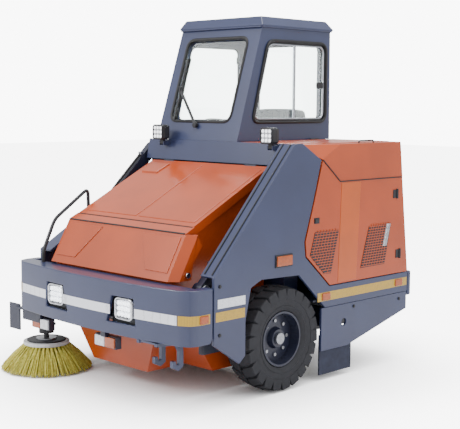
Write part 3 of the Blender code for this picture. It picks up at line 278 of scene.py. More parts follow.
# %% [markdown]
# A material starts from what the thing is made of. Colours are given as sRGB hex,
# as on a paint card, and turned to the linear values that a shader works in.

# %% Colour and node helpers
def linear(hex_colour):
    """Linear RGBA from an sRGB hex colour."""
    channels = [int(hex_colour[i:i + 2], 16) / 255 for i in (0, 2, 4)]
    return tuple(c / 12.92 if c <= 0.04045 else ((c + 0.055) / 1.055) ** 2.4 for c in channels) + (1.0,)


def node(tree, kind, links=(), **settings):
    """Adds a node, sets its sockets and properties, and links it to others."""
    made = tree.nodes.new(kind)
    for key, value in settings.items():
        label = key.replace("_", " ")
        socket = next((s for s in made.inputs if s.name.lower() == label.lower()), None)
        if socket is not None:
            socket.default_value = value
        else:
            setattr(made, key, value)
    for source, target in links:
        tree.links.new(source, made.inputs[target])
    return made


def base_material(name, hex_colour, roughness, metallic=0.0, **more):
    """A Principled material: its constants sit on the shader's own sockets."""
    material = bpy.data.materials.new(name)
    material.use_nodes = True
    tree = material.node_tree
    shader = tree.nodes["Principled BSDF"]
    shader.inputs["Base Color"].default_value = linear(hex_colour)
    shader.inputs["Roughness"].default_value = roughness
    shader.inputs["Metallic"].default_value = metallic
    for label, value in more.items():
        shader.inputs[label.replace("_", " ")].default_value = value
    return material, tree, shader


def grain(tree, shader, pitch_mm, height_mm, strength, detail=2.0):
    """Fine relief: noise of a pitch and height given in millimetres."""
    place = node(tree, "ShaderNodeTexCoord")
    noise = node(
        tree, "ShaderNodeTexNoise", [(place.outputs["Object"], "Vector")],
        Scale=1000.0 / pitch_mm, Detail=detail,
    )
    bump = node(
        tree, "ShaderNodeBump", [(noise.outputs["Fac"], "Height")],
        Strength=strength, Distance=height_mm / 1000.0,
    )
    tree.links.new(bump.outputs["Normal"], shader.inputs["Normal"])
    return place


def two_tone(tree, shader, value, positions, colours):
    """Colours the surface between two shades by a value."""
    ramp = node(tree, "ShaderNodeValToRGB", [(value, "Fac")])
    for element, position, colour in zip(ramp.color_ramp.elements, positions, colours):
        element.position = position
        element.color = linear(colour)
    tree.links.new(ramp.outputs["Color"], shader.inputs["Base Color"])


def flutes(tree, shader, place, flute_mm, strength, depth):
    """Moulded flutes: a wave of a pitch given in millimetres."""
    scale = 1000.0 / flute_mm / 6.28
    wave = node(tree, "ShaderNodeTexWave", [(place.outputs["Object"], "Vector")], Scale=scale)
    bump = node(
        tree, "ShaderNodeBump", [(wave.outputs["Fac"], "Height")], Strength=strength, Distance=depth
    )
    tree.links.new(bump.outputs["Normal"], shader.inputs["Normal"])


def drift(tree, shader, place, hex_a, hex_b, pitch_mm, low=0.35, high=0.65):
    """The colour drifts between two close shades over a distance."""
    noise = node(
        tree, "ShaderNodeTexNoise", [(place.outputs["Object"], "Vector")],
        Scale=1000.0 / pitch_mm, Detail=3.0,
    )
    two_tone(tree, shader, noise.outputs["Fac"], (low, high), (hex_a, hex_b))


def shade(hex_colour, factor):
    """The same colour, lighter or darker."""
    return "".join(
        f"{max(0, min(255, round(int(hex_colour[i:i + 2], 16) * factor))):02X}" for i in (0, 2, 4)
    )


def shades(hex_colour, dark, light):
    """Two shades close to a colour."""
    return shade(hex_colour, dark), shade(hex_colour, light)


def grained(name, hex_colour, roughness, relief, colours, drift_mm, spread=(0.35, 0.65), **more):
    """A material with fine relief and a slow drift of its colour."""
    material, tree, shader = base_material(name, hex_colour, roughness, **more)
    drift(tree, shader, grain(tree, shader, *relief), *colours, drift_mm, *spread)
    return material


print("colour helpers ready")

# %% [markdown]
# **Paint.** The sheet metal is stove-enamelled: a smooth film with faint orange
# peel about 2 mm across, and a clear gloss over it. The colour drifts a little,
# as sprayed film does.

# %% Enamel paints
def enamel(name, hex_colour, roughness=0.32):
    return grained(
        name, hex_colour, roughness, (2.2, 0.05, 0.25), shades(hex_colour, 0.96, 1.03), 260,
        Coat_Weight=0.35, Coat_Roughness=0.12,
    )


ORANGE_ENAMEL = enamel("orange_stove_enamel", "AA4210")
GREY_ENAMEL = enamel("slate_grey_stove_enamel", "2F3655")
DEEP_ORANGE_ENAMEL = enamel("deep_orange_stove_enamel", "B85008")
DARK_ENAMEL = enamel("dark_slate_chassis_enamel", "1B1F33", 0.45)
print("paints:", ORANGE_ENAMEL.name, GREY_ENAMEL.name, DARK_ENAMEL.name)

# %% [markdown]
# **Plastics and rubber.** Injection-moulded ABS has a fine leather grain of about
# a millimetre. Tyre rubber is duller, with a bloom that greys it in patches.

# %% Plastics and rubber
def moulded_abs(name, hex_colour, roughness=0.5):
    return grained(name, hex_colour, roughness, (1.2, 0.08, 0.3), shades(hex_colour, 0.9, 1.1), 90)


def vulcanised_rubber(name, hex_dark, hex_bloom, roughness):
    return grained(
        name, hex_dark, roughness, (0.9, 0.08, 0.35, 4.0), (hex_dark, hex_bloom), 45, (0.3, 0.75)
    )


BLACK_ABS = moulded_abs("black_moulded_abs", "1E1F24")
BRUSH_BLOCK = moulded_abs("pale_moulded_polypropylene", "C9CBCB", 0.45)
TYRE_RUBBER = vulcanised_rubber("tyre_tread_rubber", "17181E", "202128", 0.7)
SEAL_RUBBER = vulcanised_rubber("extruded_epdm_seal", "0D0E11", "16171B", 0.55)
SKIRT_RUBBER = vulcanised_rubber("rubber_skirt_sheet", "25293A", "31364A", 0.8)
print("plastics and rubber ready")

# %% [markdown]
# **Metals.** Zinc-plated steel is dull and slightly mottled, anodised aluminium is
# drawn along its length, and the reflectors of the lamps are vacuum-coated.

# %% Metals
def plated_steel(name, hex_colour, roughness):
    colours = shades(hex_colour, 0.9, 1.05)
    return grained(name, hex_colour, roughness, (0.7, 0.03, 0.3), colours, 12, metallic=1.0)


ZINC_STEEL = plated_steel("zinc_plated_steel", "A9ABB0", 0.36)
CHROME_BOLT = plated_steel("polished_chrome", "D5D7DB", 0.14)
ANODISED = plated_steel("anodised_aluminium", "B9BCC2", 0.3)
REFLECTOR = plated_steel("vacuum_coated_reflector", "E2E4E8", 0.18)
CAST_IRON = plated_steel("painted_cast_iron", "3C3E44", 0.55)
print("metals ready")

# %% [markdown]
# **Glass and lenses.** Flat safety glass is clear with a faint green tint; lamp
# lenses are moulded polycarbonate with a fluted back, so they scatter light.

# %% Glass, lenses and light
def clear_glass(name, hex_colour, roughness, flute_mm=0.0):
    material, tree, shader = base_material(name, hex_colour, roughness, Transmission_Weight=1.0, IOR=1.45)
    if flute_mm:
        flutes(tree, shader, node(tree, "ShaderNodeTexCoord"), flute_mm, 0.35, 0.0008)
    else:
        grain(tree, shader, 180.0, 0.05, 0.05)
    return material


def moulded_lens(name, hex_colour, flute_mm):
    material, tree, shader = base_material(name, hex_colour, 0.12, Coat_Weight=0.6, Coat_Roughness=0.05)
    place = node(tree, "ShaderNodeTexCoord")
    flutes(tree, shader, place, flute_mm, 0.6, 0.001)
    drift(tree, shader, place, *shades(hex_colour, 0.93, 1.05), 15)
    return material


SAFETY_GLASS = clear_glass("laminated_safety_glass", "EEF3F2", 0.0)
LAMP_GLASS = clear_glass("polycarbonate_lamp_cover", "F4F6F8", 0.03, 5.0)
AMBER_LENS = moulded_lens("amber_acrylic_lens", "A84A04", 4.0)
RED_LENS = moulded_lens("red_acrylic_lens", "A81C1C", 4.0)
CLEAR_LENS = moulded_lens("clear_fluted_lens", "DDE2E8", 4.0)
led_colour = "F8FBFF"
LED_CHIP = grained(
    "white_led_chip", led_colour, 0.3, (3.0, 0.05, 0.2), ("F0F4FA", "FFFFFF"), 8,
    Emission_Color=linear(led_colour), Emission_Strength=1.6,
)
print("glass and lenses ready")

# %% [markdown]
# ** Reflective tape** is a film of small cells under a clear skin, drawn 7 mm across,
# which is coarser than real, so that they show; its faint emission is painted shine
# for the light that the cells send back. Bristle is drawn polypropylene, the seat is
# coated vinyl, and the filter is resin paper. The floor is seen bright, and it lights
# nothing; ambient occlusion dims it near the machine, a painted contact shadow.

# %% Tape, bristle, vinyl and filter paper
CELL_MM = 7.0


def cell_tape(name, hex_colour, painted_shine):
    # The emission is painted shine: a glow that stands in for the light the tape's cells send back.
    material, tree, shader = base_material(
        name, hex_colour, 0.28, Coat_Weight=0.8, Coat_Roughness=0.08,
        Emission_Color=linear(hex_colour), Emission_Strength=painted_shine,
    )
    place = node(tree, "ShaderNodeTexCoord")
    cells = node(
        tree, "ShaderNodeTexVoronoi", [(place.outputs["Object"], "Vector")],
        feature="DISTANCE_TO_EDGE", Scale=1000.0 / CELL_MM, Randomness=0.15,
    )
    two_tone(tree, shader, cells.outputs["Distance"], (0.02, 0.12), (shade(hex_colour, 0.86), hex_colour))
    return material


YELLOW_TAPE = cell_tape("yellow_retroreflective_tape", "BE9600", 0.05)
WHITE_TAPE = cell_tape("white_retroreflective_tape", "E2E4EC", 0.25)


BRISTLE = grained(
    "polypropylene_bristle", "B5A832", 0.5, (0.6, 0.05, 0.3), ("B5A832", "D8CE62"), 14,
    Subsurface_Weight=0.1,
)
SEAT_VINYL = grained("seat_vinyl", "24262B", 0.55, (2.0, 0.15, 0.4, 6.0), shades("24262B", 0.9, 1.12), 70)
FILTER_PAPER = grained("resin_filter_paper", "D8D2C0", 0.9, (1.0, 0.1, 0.4), ("CFC8B4", "DED8C8"), 30)
STUDIO_FLOOR, floor_tree, floor_shader = base_material(
    "matt_studio_floor", "F1F1F4", 0.6, Emission_Color=(1.0, 1.0, 1.0, 1.0)
)
floor_ray = node(floor_tree, "ShaderNodeLightPath")
floor_glow = node(
    floor_tree, "ShaderNodeMath", [(floor_ray.outputs["Is Camera Ray"], 0)], operation="MULTIPLY"
)
# Painted contact shadow: ambient occlusion dims the floor's seen brightness under and beside the machine.
painted_contact_shadow = node(floor_tree, "ShaderNodeAmbientOcclusion", samples=8, Distance=0.9)
painted_shadow_falloff = node(floor_tree, "ShaderNodeMath", [(painted_contact_shadow.outputs["AO"], 0)], operation="POWER")
painted_shadow_falloff.inputs[1].default_value = 2.0
floor_tree.links.new(painted_shadow_falloff.outputs["Value"], floor_glow.inputs[1])
bright = node(floor_tree, "ShaderNodeMath", [(floor_glow.outputs["Value"], 0)], operation="MULTIPLY")
bright.inputs[1].default_value = 6.0
floor_tree.links.new(bright.outputs["Value"], floor_shader.inputs["Emission Strength"])
drift(floor_tree, floor_shader, grain(floor_tree, floor_shader, 4.0, 0.05, 0.1), "EFEFF3", "F3F3F5", 900)
print("tape, bristle, vinyl and paper ready")

# %% [markdown]
# The record's slots name a finish for each solid. Every solid takes the material
# for its slot, with a few that differ, such as the engine's iron.

# %% Finishes on the solids
FINISH = {
    "grey_blue_paint": GREY_ENAMEL, "orange_paint": ORANGE_ENAMEL, "black_plastic": BLACK_ABS,
    "tyre_rubber": TYRE_RUBBER, "wiper_rubber": SEAL_RUBBER, "rubber_sheet": SKIRT_RUBBER,
    "painted_rim": DARK_ENAMEL, "anodised_aluminium": ANODISED, "safety_glass": SAFETY_GLASS,
    "lamp_lens": LAMP_GLASS, "polypropylene_bristle": BRISTLE, "seat_vinyl": SEAT_VINYL,
    "filter_paper": FILTER_PAPER,
}
SPECIAL = {
    "engine": CAST_IRON, "main_brush_yoke": DARK_ENAMEL, "side_brush_arm": DARK_ENAMEL,
    "side_brush_guard": DARK_ENAMEL, "side_window_frame": SEAL_RUBBER,
}
for name, solid in NODES.items():
    solid.data.materials.clear()
    solid.data.materials.append(SPECIAL.get(name, FINISH[SLOT_OF[name]]))
print("finishes on", len(NODES), "solids")

# %% [markdown]
# Folded sheet metal has soft edges that catch the light. A copy of each painted
# solid has its loose triangles merged and its flat faces dissolved, then a bevel
# rounds its edges. The copy stands for the solid, which stays for collision.

# %% Rounded copies of the painted solids
def soft_copy(name, width, segments=2, material=None):
    solid = NODES[name]
    copied = solid.copy()
    copied.data = solid.data.copy()
    copied.name = name + "_pressed"
    bpy.context.scene.collection.objects.link(copied)
    copied.parent = None
    pick(copied)
    bpy.ops.object.mode_set(mode="EDIT")
    bpy.ops.mesh.select_all(action="SELECT")
    bpy.ops.mesh.remove_doubles(threshold=0.00002)
    bpy.ops.mesh.dissolve_limited(angle_limit=math.radians(0.6))
    bpy.ops.object.mode_set(mode="OBJECT")
    round_edges(copied, width, segments)
    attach(copied, BODY_OF[name])
    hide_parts(name)
    if material:
        copied.data.materials.clear()
        copied.data.materials.append(material)
    return copied


SOFT_EDGES = {
    "left_side_panel": 0.004, "right_side_panel": 0.004, "left_lower_panel": 0.003,
    "right_lower_panel": 0.003,
    "left_service_door": 0.0025, "hood_lid": 0.006, "rear_cover": 0.003, "cowl": 0.003,
    "cab_shell": 0.007,
    "cab_roof": 0.005, "cab_door": 0.004, "hopper_lid": 0.005, "nose_cover": 0.006, "front_bumper": 0.008,
    "lift_frame": 0.004, "steering_console": 0.010, "seat_base": 0.004, "footwell": 0.002,
    "hopper_tub": 0.002,
}
for name, width in SOFT_EDGES.items():
    soft_copy(name, width)
print("rounded copies:", len(SOFT_EDGES))

# %% [markdown]
# **Tyres.** A traction tyre is a round carcass with deep staggered lugs that run
# over the shoulder. One profile is spun round the axle, and one lug is modelled
# and copied round both shoulders.

# %% Traction tyres
def spun(name, profile, centre, steps=64):
    """A closed (radius, along) profile turned about a cross axis through centre."""
    pick()
    bpy.ops.mesh.primitive_circle_add(vertices=len(profile), fill_type="NOTHING")
    piece = bpy.context.object
    for vert, (radius, along) in zip(piece.data.vertices, profile):
        vert.co = at(centre[0] + along, centre[1], centre[2] + radius)
    bpy.ops.object.mode_set(mode="EDIT")
    bpy.ops.mesh.select_all(action="SELECT")
    bpy.ops.mesh.spin(steps=steps, angle=math.tau, center=at(*centre), axis=(1, 0, 0))
    bpy.ops.mesh.select_all(action="SELECT")
    bpy.ops.mesh.remove_doubles(threshold=0.0002)
    face_out()
    pick(piece)
    bpy.ops.object.shade_smooth_by_angle(angle=math.radians(40))
    piece.name = name
    return piece


def tyre(name, node_name, centre, radius, seat, width, lugs, lug_depth):
    half = width / 2
    crown = radius - lug_depth
    shoulder = [
        (seat + 0.002, 0.76), (seat + 0.012, 0.86), (seat + 0.030, 0.93), (seat + 0.034, 0.90),
        (crown * 0.5 + seat * 0.5, 0.97), (crown - 0.040, 0.95), (crown - 0.012, 0.86), (crown, 0.60),
    ]
    profile = [(r, -half * share) for r, share in shoulder] + [(crown + 0.002, 0.0)]
    profile += [(r, half * share) for r, share in reversed(shoulder)]
    carcass = spun(name + "_carcass", profile, centre)
    reach = math.tau / lugs * radius * 0.74
    top = [(half * 0.04, crown - 0.006, radius), (half * 0.99, crown - 0.060, radius - 0.012)]
    pieces = [carcass]
    for side in (-1, 1):
        pick()
        bpy.ops.mesh.primitive_cube_add(size=1)
        lug = bpy.context.object
        for vert in lug.data.vertices:
            outer = vert.co.x > 0
            along, low, high = top[1] if outer else top[0]
            lean = 0.018 if outer else -0.010
            span = reach * (0.5 if vert.co.z > 0 else 0.62)
            y = math.copysign(span, vert.co.y) + lean
            vert.co = at(
                centre[0] + side * along, centre[1] + y, centre[2] + (high if vert.co.z > 0 else low)
            )
        bpy.ops.object.mode_set(mode="EDIT")
        face_out()
        round_edges(lug, 0.004, 1)
        pieces += copied_round(lug, centre, lugs, 0.5 if side > 0 else 0.0)
    whole = merged(name, pieces)
    wear(whole, TYRE_RUBBER, BODY_OF[node_name])
    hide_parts(node_name)
    return whole


for label, sign in SIDES:
    tyre(
        f"traction_tyre_{label}", f"front_tyre_{label}", (sign * WHEEL_X, 0.0, WHEEL_R), 0.2945,
        0.157, 0.173, 22, 0.016
    )
tyre("steer_tyre", "rear_tyre", (0.0, 0.820, 0.180), 0.1795, 0.097, 0.128, 18, 0.010)
print("tyres made")

# %% [markdown]
# **Wheel nuts and hub caps.** A flat-faced hex nut is a six-sided cylinder with its
# corners rounded. One is modelled and copied round the bolt circle.

# %% Wheel nuts and hub caps
for label, sign in SIDES:
    face = sign * WHEEL_X + sign * 0.009
    nut = disc("nut", (face, 0.0, WHEEL_R + 0.096), 0.011, 0.016, "x", 0.001, 6)
    nuts = copied_round(nut, (face, 0.0, WHEEL_R), 8)
    wear(merged(f"wheel_nuts_{label}", nuts), ZINC_STEEL, f"front_wheel_{label}")
    cap = disc(f"hub_cap_{label}", (sign * 0.7085, 0.0, WHEEL_R), 0.034, 0.020, "x", 0.006, 32)
    wear(cap, ZINC_STEEL, f"front_wheel_{label}")
print("wheel nuts and caps made")

# %% [markdown]
# **Side brush.** A dished disc holds bundles of bristle that splay outwards and
# droop to the ground. A bundle is a handful of thin tapered rods from one hole,
# each with its own lean; bundles stand in two rings.

# %% Side brush
random.seed(7)
BRUSH = (-0.615, -0.623)


def around(reach, heading, z):
    """A place round the brush's axis."""
    return (BRUSH[0] + reach * math.cos(heading), BRUSH[1] + reach * math.sin(heading), z)


strands = []
for ring, (count, hole_r, tip_r) in enumerate(((30, 0.098, 0.215), (38, 0.126, 0.270))):
    for i in range(count):
        heading = math.tau * (i + 0.5 * ring) / count
        for k in range(20):
            lean = heading + random.uniform(-0.080, 0.080)
            reach = tip_r + random.uniform(-0.020, 0.002)
            drop = random.uniform(0.003, 0.020)
            foot = hole_r + random.uniform(-0.006, 0.006)
            foot_turn = heading + random.uniform(-0.03, 0.03)
            start = around(foot, foot_turn, 0.152)
            middle = 0.5 * (foot + reach) + 0.006
            knee = around(middle, lean, 0.080 + 0.5 * drop)
            strands.append(((start, knee, around(reach, lean, drop)), 0.0026))


def strand_mesh(name, strands):
    """All the bristles as one mesh, each a four-sided rod tapering to its tip."""
    lines = []
    for points, radius in strands:
        last = len(points) - 1
        lines.append((points, [radius * (1.0 - 0.25 * k / last) for k in range(last + 1)]))
    return rods(name, lines, 1.0, sides=0)


side_tufts = strand_mesh("side_brush_tufts", strands)
wear(side_tufts, BRISTLE, "side_brush_rotor")
wear(
    disc("side_brush_block", (BRUSH[0], BRUSH[1], 0.160), 0.138, 0.022, "z", 0.006, 48), BRUSH_BLOCK,
    "side_brush_rotor"
)
crown = disc("side_brush_crown", (BRUSH[0], BRUSH[1], 0.1735), 0.116, 0.012, "z", 0.004, 48)
wear(crown, BLACK_ABS, "side_brush_rotor")
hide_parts("side_brush")
wear(
    disc("side_brush_drive_plate", (BRUSH[0], BRUSH[1], 0.1815), 0.062, 0.010, "z", 0.002, 32),
    ZINC_STEEL, "side_brush_rotor"
)
print("bristles in the side brush:", len(strands))

# %% [markdown]
# **Main brush.** A long roller with bundles of bristle set in a chevron, so that
# it sweeps dirt to the middle of the hopper.

# %% Main brush
random.seed(11)
MAIN_Y, MAIN_Z = 0.370, 0.158
roller_strands = []
rows = 14
for row in range(rows):
    for i in range(58):
        along = -0.458 + 0.916 * i / 57
        heading = math.tau * row / rows + abs(along) * 1.6
        for k in range(2):
            lean = heading + random.uniform(-0.05, 0.05)
            reach = 0.1535 + random.uniform(-0.004, 0.001)
            points = []
            for r in (0.060, reach):
                points.append((
                    along + random.uniform(-0.004, 0.004) * (r > 0.1),
                    MAIN_Y + r * math.cos(lean), MAIN_Z + r * math.sin(lean),
                ))
            roller_strands.append((tuple(points), 0.0034))
roller = strand_mesh("main_brush_tufts", roller_strands)
wear(roller, BRISTLE, "main_brush_rotor")
wear(
    disc("main_brush_core", (0.0, MAIN_Y, MAIN_Z), 0.070, 0.926, "x", 0.003, 40), BLACK_ABS,
    "main_brush_rotor"
)
wear(
    disc("main_brush_shaft", (0.0, MAIN_Y, MAIN_Z), 0.0148, 0.980, "x", 0.001, 20), ZINC_STEEL,
    "main_brush_rotor"
)
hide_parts("main_brush")
print("bristles in the main brush:", len(roller_strands))

# %% [markdown]
# **Window seals.** Each pane sits in an extruded rubber bead with round corners.
# A bead is a bar run round a closed route, pressed against the sheet.

# %% Window seals
SHIELD_LOW, SHIELD_HIGH = (0.175, 1.366), (0.392, 2.050)
RAKE = (SHIELD_HIGH[0] - SHIELD_LOW[0]) / (SHIELD_HIGH[1] - SHIELD_LOW[1])


def front_y(z):
    """The cab's raked front at a height."""
    return SHIELD_LOW[0] + RAKE * (z - SHIELD_LOW[1])


def seal(name, corners, radius, thickness, body, material=SEAL_RUBBER):
    """A rubber bead round a closed route."""
    bead = wire(name, rounded_route(corners, radius, True), thickness, True, 3)
    return wear(bead, material, body)


WIN_LOW, WIN_HIGH = 1.475, 1.993
shield = [(x, front_y(z) + 0.004, z) for x, z in (
    (CAB_X - 0.272, WIN_LOW + 0.004), (CAB_X + 0.258, WIN_LOW + 0.004),
    (CAB_X + 0.258, WIN_HIGH - 0.004), (CAB_X - 0.272, WIN_HIGH - 0.004),
)]
seal("windshield_seal", shield, 0.060, 0.022, "chassis")
back = upright((CAB_X - 0.268, CAB_X + 0.268), 1.026, (WIN_LOW + 0.002, 1.973))
seal("rear_window_seal", back, 0.052, 0.016, "chassis")
side_x = CAB_X + 0.350
side = at_x(side_x + 0.006, [(0.303, 1.478), (0.987, 1.478), (0.987, 1.972), (0.440, 1.972)])
seal("side_window_seal", side, 0.060, 0.018, "chassis")
door_x = CAB_X - 0.355 - 0.0005
entry = at_x(door_x - 0.016, [(0.367, 1.478), (0.928, 1.478), (0.928, 1.957), (0.494, 1.957)])
seal("entry_window_seal", entry, 0.050, 0.014, "entry_door")
inner_track = at_x(side_x - 0.004, [(0.330, 1.4985), (0.966, 1.4985), (0.966, 1.9515), (0.4575, 1.9515)])
seal("side_window_track", inner_track, 0.045, 0.014, "chassis", ANODISED)
for name, y in (("window_post_fixed", 0.705), ("window_post_sliding", 0.697)):
    body = "chassis" if name.endswith("fixed") else "sliding_window"
    x = side_x - 0.0215 if body == "chassis" else side_x - 0.0095
    post = block(name, (x - 0.0035, x + 0.0035), (y - 0.009, y + 0.009), (1.500, 1.950), 0.001)
    wear(post, ANODISED, body)
print("seals made")

# %% [markdown]
# **Reflective tape** runs along the body: yellow at the waist, white on the
# fenders, and both across the bumper. It is a film half a millimetre thick, bent
# to the surface under it.

# %% Reflective tape
SIDE = 0.760
BAND = (0.4715, 0.5225)


def side_tape(name, sign, y, z, material, body="chassis"):
    """A flat strip on one side of the body."""
    x = sorted((sign * (SIDE - 0.0002), sign * (SIDE + 0.0009)))
    return wear(block(name, x, y, z), material, body)


for label, sign in SIDES:
    side_tape(f"yellow_tape_fender_{label}", sign, (-0.548, -0.333), BAND, YELLOW_TAPE)
    side_tape(f"yellow_tape_waist_{label}", sign, (0.262, 1.122), BAND, YELLOW_TAPE)
    side_tape(f"white_tape_fender_{label}", sign, (-0.534, -0.330), (0.540, 0.588), WHITE_TAPE)


def bumper_y(x):
    """The bumper's curved face."""
    return -0.800 + 0.055 * (x / 0.680) ** 2


def bumper_tape(name, x0, x1, z, material, steps=8):
    """A strip that follows the bumper's curved face."""
    plan = [x0 + (x1 - x0) * i / steps for i in range(steps + 1)]
    front = [(x, bumper_y(x) - 0.0012) for x in plan]
    rear = [(x, bumper_y(x) + 0.0006) for x in reversed(plan)]
    strip = plate(name, front + rear, "z", z[0], z[1])
    return wear(strip, material, "hopper")


bumper_tape("white_tape_bumper_centre", -0.210, 0.205, BAND, WHITE_TAPE)
bumper_tape("white_tape_bumper_left", 0.390, 0.678, BAND, WHITE_TAPE)
bumper_tape("white_tape_bumper_right", -0.678, -0.395, BAND, WHITE_TAPE)
for label, sign in SIDES:
    bend = [(0.684, -0.7440), (0.742, -0.7120), (0.760, -0.6650), (0.760, -0.5880)]
    outer = [(sign * (x + 0.0006), y - 0.0010) for x, y in bend]
    inner = [(sign * (x - 0.0006), y + 0.0010) for x, y in reversed(bend)]
    wear(plate(f"yellow_tape_bumper_{label}", outer + inner, "z", *BAND), YELLOW_TAPE, "hopper")
wear(
    block("red_white_rear_tape", (-0.700, 0.700), (1.1846, 1.1856), (0.452, 0.503)), YELLOW_TAPE,
    "chassis"
)
print("tape laid")

# %% [markdown]
# **Lamps.** A road lamp is a shallow housing with a fluted lens that stands a little
# proud. The headlamps sit in the bumper's recesses: a bright bowl with rows of
# white chips behind a clear cover.

# %% Lamps
def lens(name, x, y, z, edge, material, body):
    """A soft-edged block with the given finish and body."""
    return wear(block(name, x, y, z, edge, 3), material, body)


for label, sign in SIDES:
    x = sorted((sign * (SIDE - 0.001), sign * (SIDE + 0.005)))
    lens(f"side_marker_base_{label}", x, (-0.100, 0.040), (0.706, 0.776), 0.002, BLACK_ABS, "chassis")
    x = sorted((sign * (SIDE + 0.002), sign * (SIDE + 0.013)))
    lens(f"side_marker_{label}", x, (-0.092, 0.032), (0.713, 0.769), 0.005, AMBER_LENS, "chassis")
    x = sorted((sign * 0.756, sign * 0.769))
    lens(f"corner_lamp_{label}", x, (-0.662, -0.602), (0.476, 0.519), 0.005, AMBER_LENS, "hopper")
    for place, y in (("front", 0.300), ("rear", 1.000)):
        lens(
            f"waist_lamp_{place}_{label}", x, (y, y + 0.070), (0.476, 0.519), 0.005, AMBER_LENS,
            "chassis"
        )
    x = sorted((sign * 0.52, sign * 0.70))
    lens(f"tail_lamp_{label}", x, (1.070, 1.106), (0.905, 0.985), 0.006, RED_LENS, "chassis")
    x = sorted((sign * 0.44, sign * 0.518))
    lens(f"rear_indicator_{label}", x, (1.070, 1.106), (0.905, 0.985), 0.006, AMBER_LENS, "chassis")

    centre = sign * 0.300
    face = bumper_y(centre)
    rim = rounded_route(
        upright((centre - 0.062, centre + 0.072), face + 0.006, (0.455, 0.563)), 0.026, True
    )
    wear(wire(f"headlamp_bezel_{label}", rim, 0.012, True, 3), REFLECTOR, "hopper")
    bowl = block(
        f"headlamp_bowl_{label}", (centre - 0.060, centre + 0.070), (face + 0.013, face + 0.040),
        (0.458, 0.560), 0.012, 3
    )
    wear(bowl, REFLECTOR, "hopper")
    chips = []
    for row in range(3):
        for column in range(4):
            spot = (centre - 0.037 + 0.028 * column, face + 0.010, 0.479 + 0.030 * row)
            chips.append(disc("chip", spot, 0.0130, 0.008, "y", 0.002, 16))
    wear(merged(f"headlamp_chips_{label}", chips), LED_CHIP, "hopper")
    back = block(
        f"headlamp_housing_{label}", (centre - 0.118, centre + 0.118), (face + 0.030, face + 0.036),
        (0.418, 0.588), 0.002
    )
    wear(back, BLACK_ABS, "hopper")
    wear(
        block(
            f"headlamp_cover_{label}", (centre - 0.060, centre + 0.070),
            (face + 0.001, face + 0.0045), (0.457, 0.561), 0.001
        ),
        LAMP_GLASS, "hopper"
    )
    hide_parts(f"headlight_{label}")
print("road lamps made")

# %% [markdown]
# Two lamps hang under the bumper on straps: each is half amber and half
# clear. The work lamps on the cowl are black boxes with cooling fins behind and a
# grid of chips in front.

# %% Lamps under the bumper and work lamps
for label, x0, x1 in (("left", 0.010, 0.190), ("right", -0.615, -0.445)):
    middle = (x0 + x1) / 2
    y = -0.742 if label == "left" else -0.722
    wear(
        block(f"low_lamp_box_{label}", (x0, x1), (y, y + 0.040), (0.262, 0.332), 0.004), DARK_ENAMEL,
        "hopper"
    )
    near, far = (CLEAR_LENS, AMBER_LENS) if label == "left" else (AMBER_LENS, CLEAR_LENS)
    low_y, low_z = (y - 0.010, y + 0.004), (0.268, 0.326)
    lens(f"low_lamp_near_{label}", (x0 + 0.006, middle - 0.002), low_y, low_z, 0.004, near, "hopper")
    lens(f"low_lamp_far_{label}", (middle + 0.002, x1 - 0.006), low_y, low_z, 0.004, far, "hopper")
    strap = block(
        f"low_lamp_strap_{label}", (middle - 0.020, middle + 0.020), (y - 0.020, y + 0.010),
        (0.325, 0.366), 0.002
    )
    wear(strap, DARK_ENAMEL, "hopper")

for label, x in (("right", -0.400), ("left", 0.520)):
    low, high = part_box(f"work_light_{label}")
    body = f"work_lamp_{label}"
    front = low[1] - AXLE_Y
    chips = []
    for row in range(3):
        for column in range(3):
            chips.append(
                disc(
                    "chip", (x - 0.026 + 0.026 * column, front - 0.0005, 1.386 + 0.026 * row), 0.0095,
                    0.006, "y", 0.0015, 14
                )
            )
    wear(merged(f"work_lamp_chips_{label}", chips), LED_CHIP, body)
    ring = rounded_route(upright((x - 0.042, x + 0.042), front - 0.001, (1.370, 1.454)), 0.016, True)
    wear(wire(f"work_lamp_bezel_{label}", ring, 0.010, True, 3), BLACK_ABS, body)
    panel = block(
        f"work_lamp_reflector_{label}", (x - 0.040, x + 0.040), (front - 0.0012, front + 0.002),
        (1.372, 1.452), 0.001
    )
    wear(panel, REFLECTOR, body)
    fins = []
    for i in range(7):
        spot = x - 0.036 + 0.012 * i
        fins.append(
            block(
                "fin", (spot - 0.0018, spot + 0.0018), (front + 0.048, front + 0.063), (1.375, 1.449),
                0.0008
            )
        )
    wear(merged(f"work_lamp_fins_{label}", fins), BLACK_ABS, body)
print("low lamps and work lamps made")

# %% [markdown]
# **Fasteners.** Sheet panels are held by button-head screws on washers, about 20 mm
# across. The nose has its bright bolts, and each lift arm its pin.

# %% Screws on the flanges
def screw_row(name, spots, axis, sign, material, body, radius=0.0085):
    """Button-head screws that face along an axis."""
    made = []
    for spot in spots:
        washer = disc("washer", spot, radius * 1.25, 0.0024, axis, 0.0006, 20)
        head_at = list(spot)
        head_at["xyz".index(axis)] += sign * 0.0034
        head = disc("head", head_at, radius, 0.005, axis, 0.0022, 18)
        made += [washer, head]
    return wear(merged(name, made), material, body)


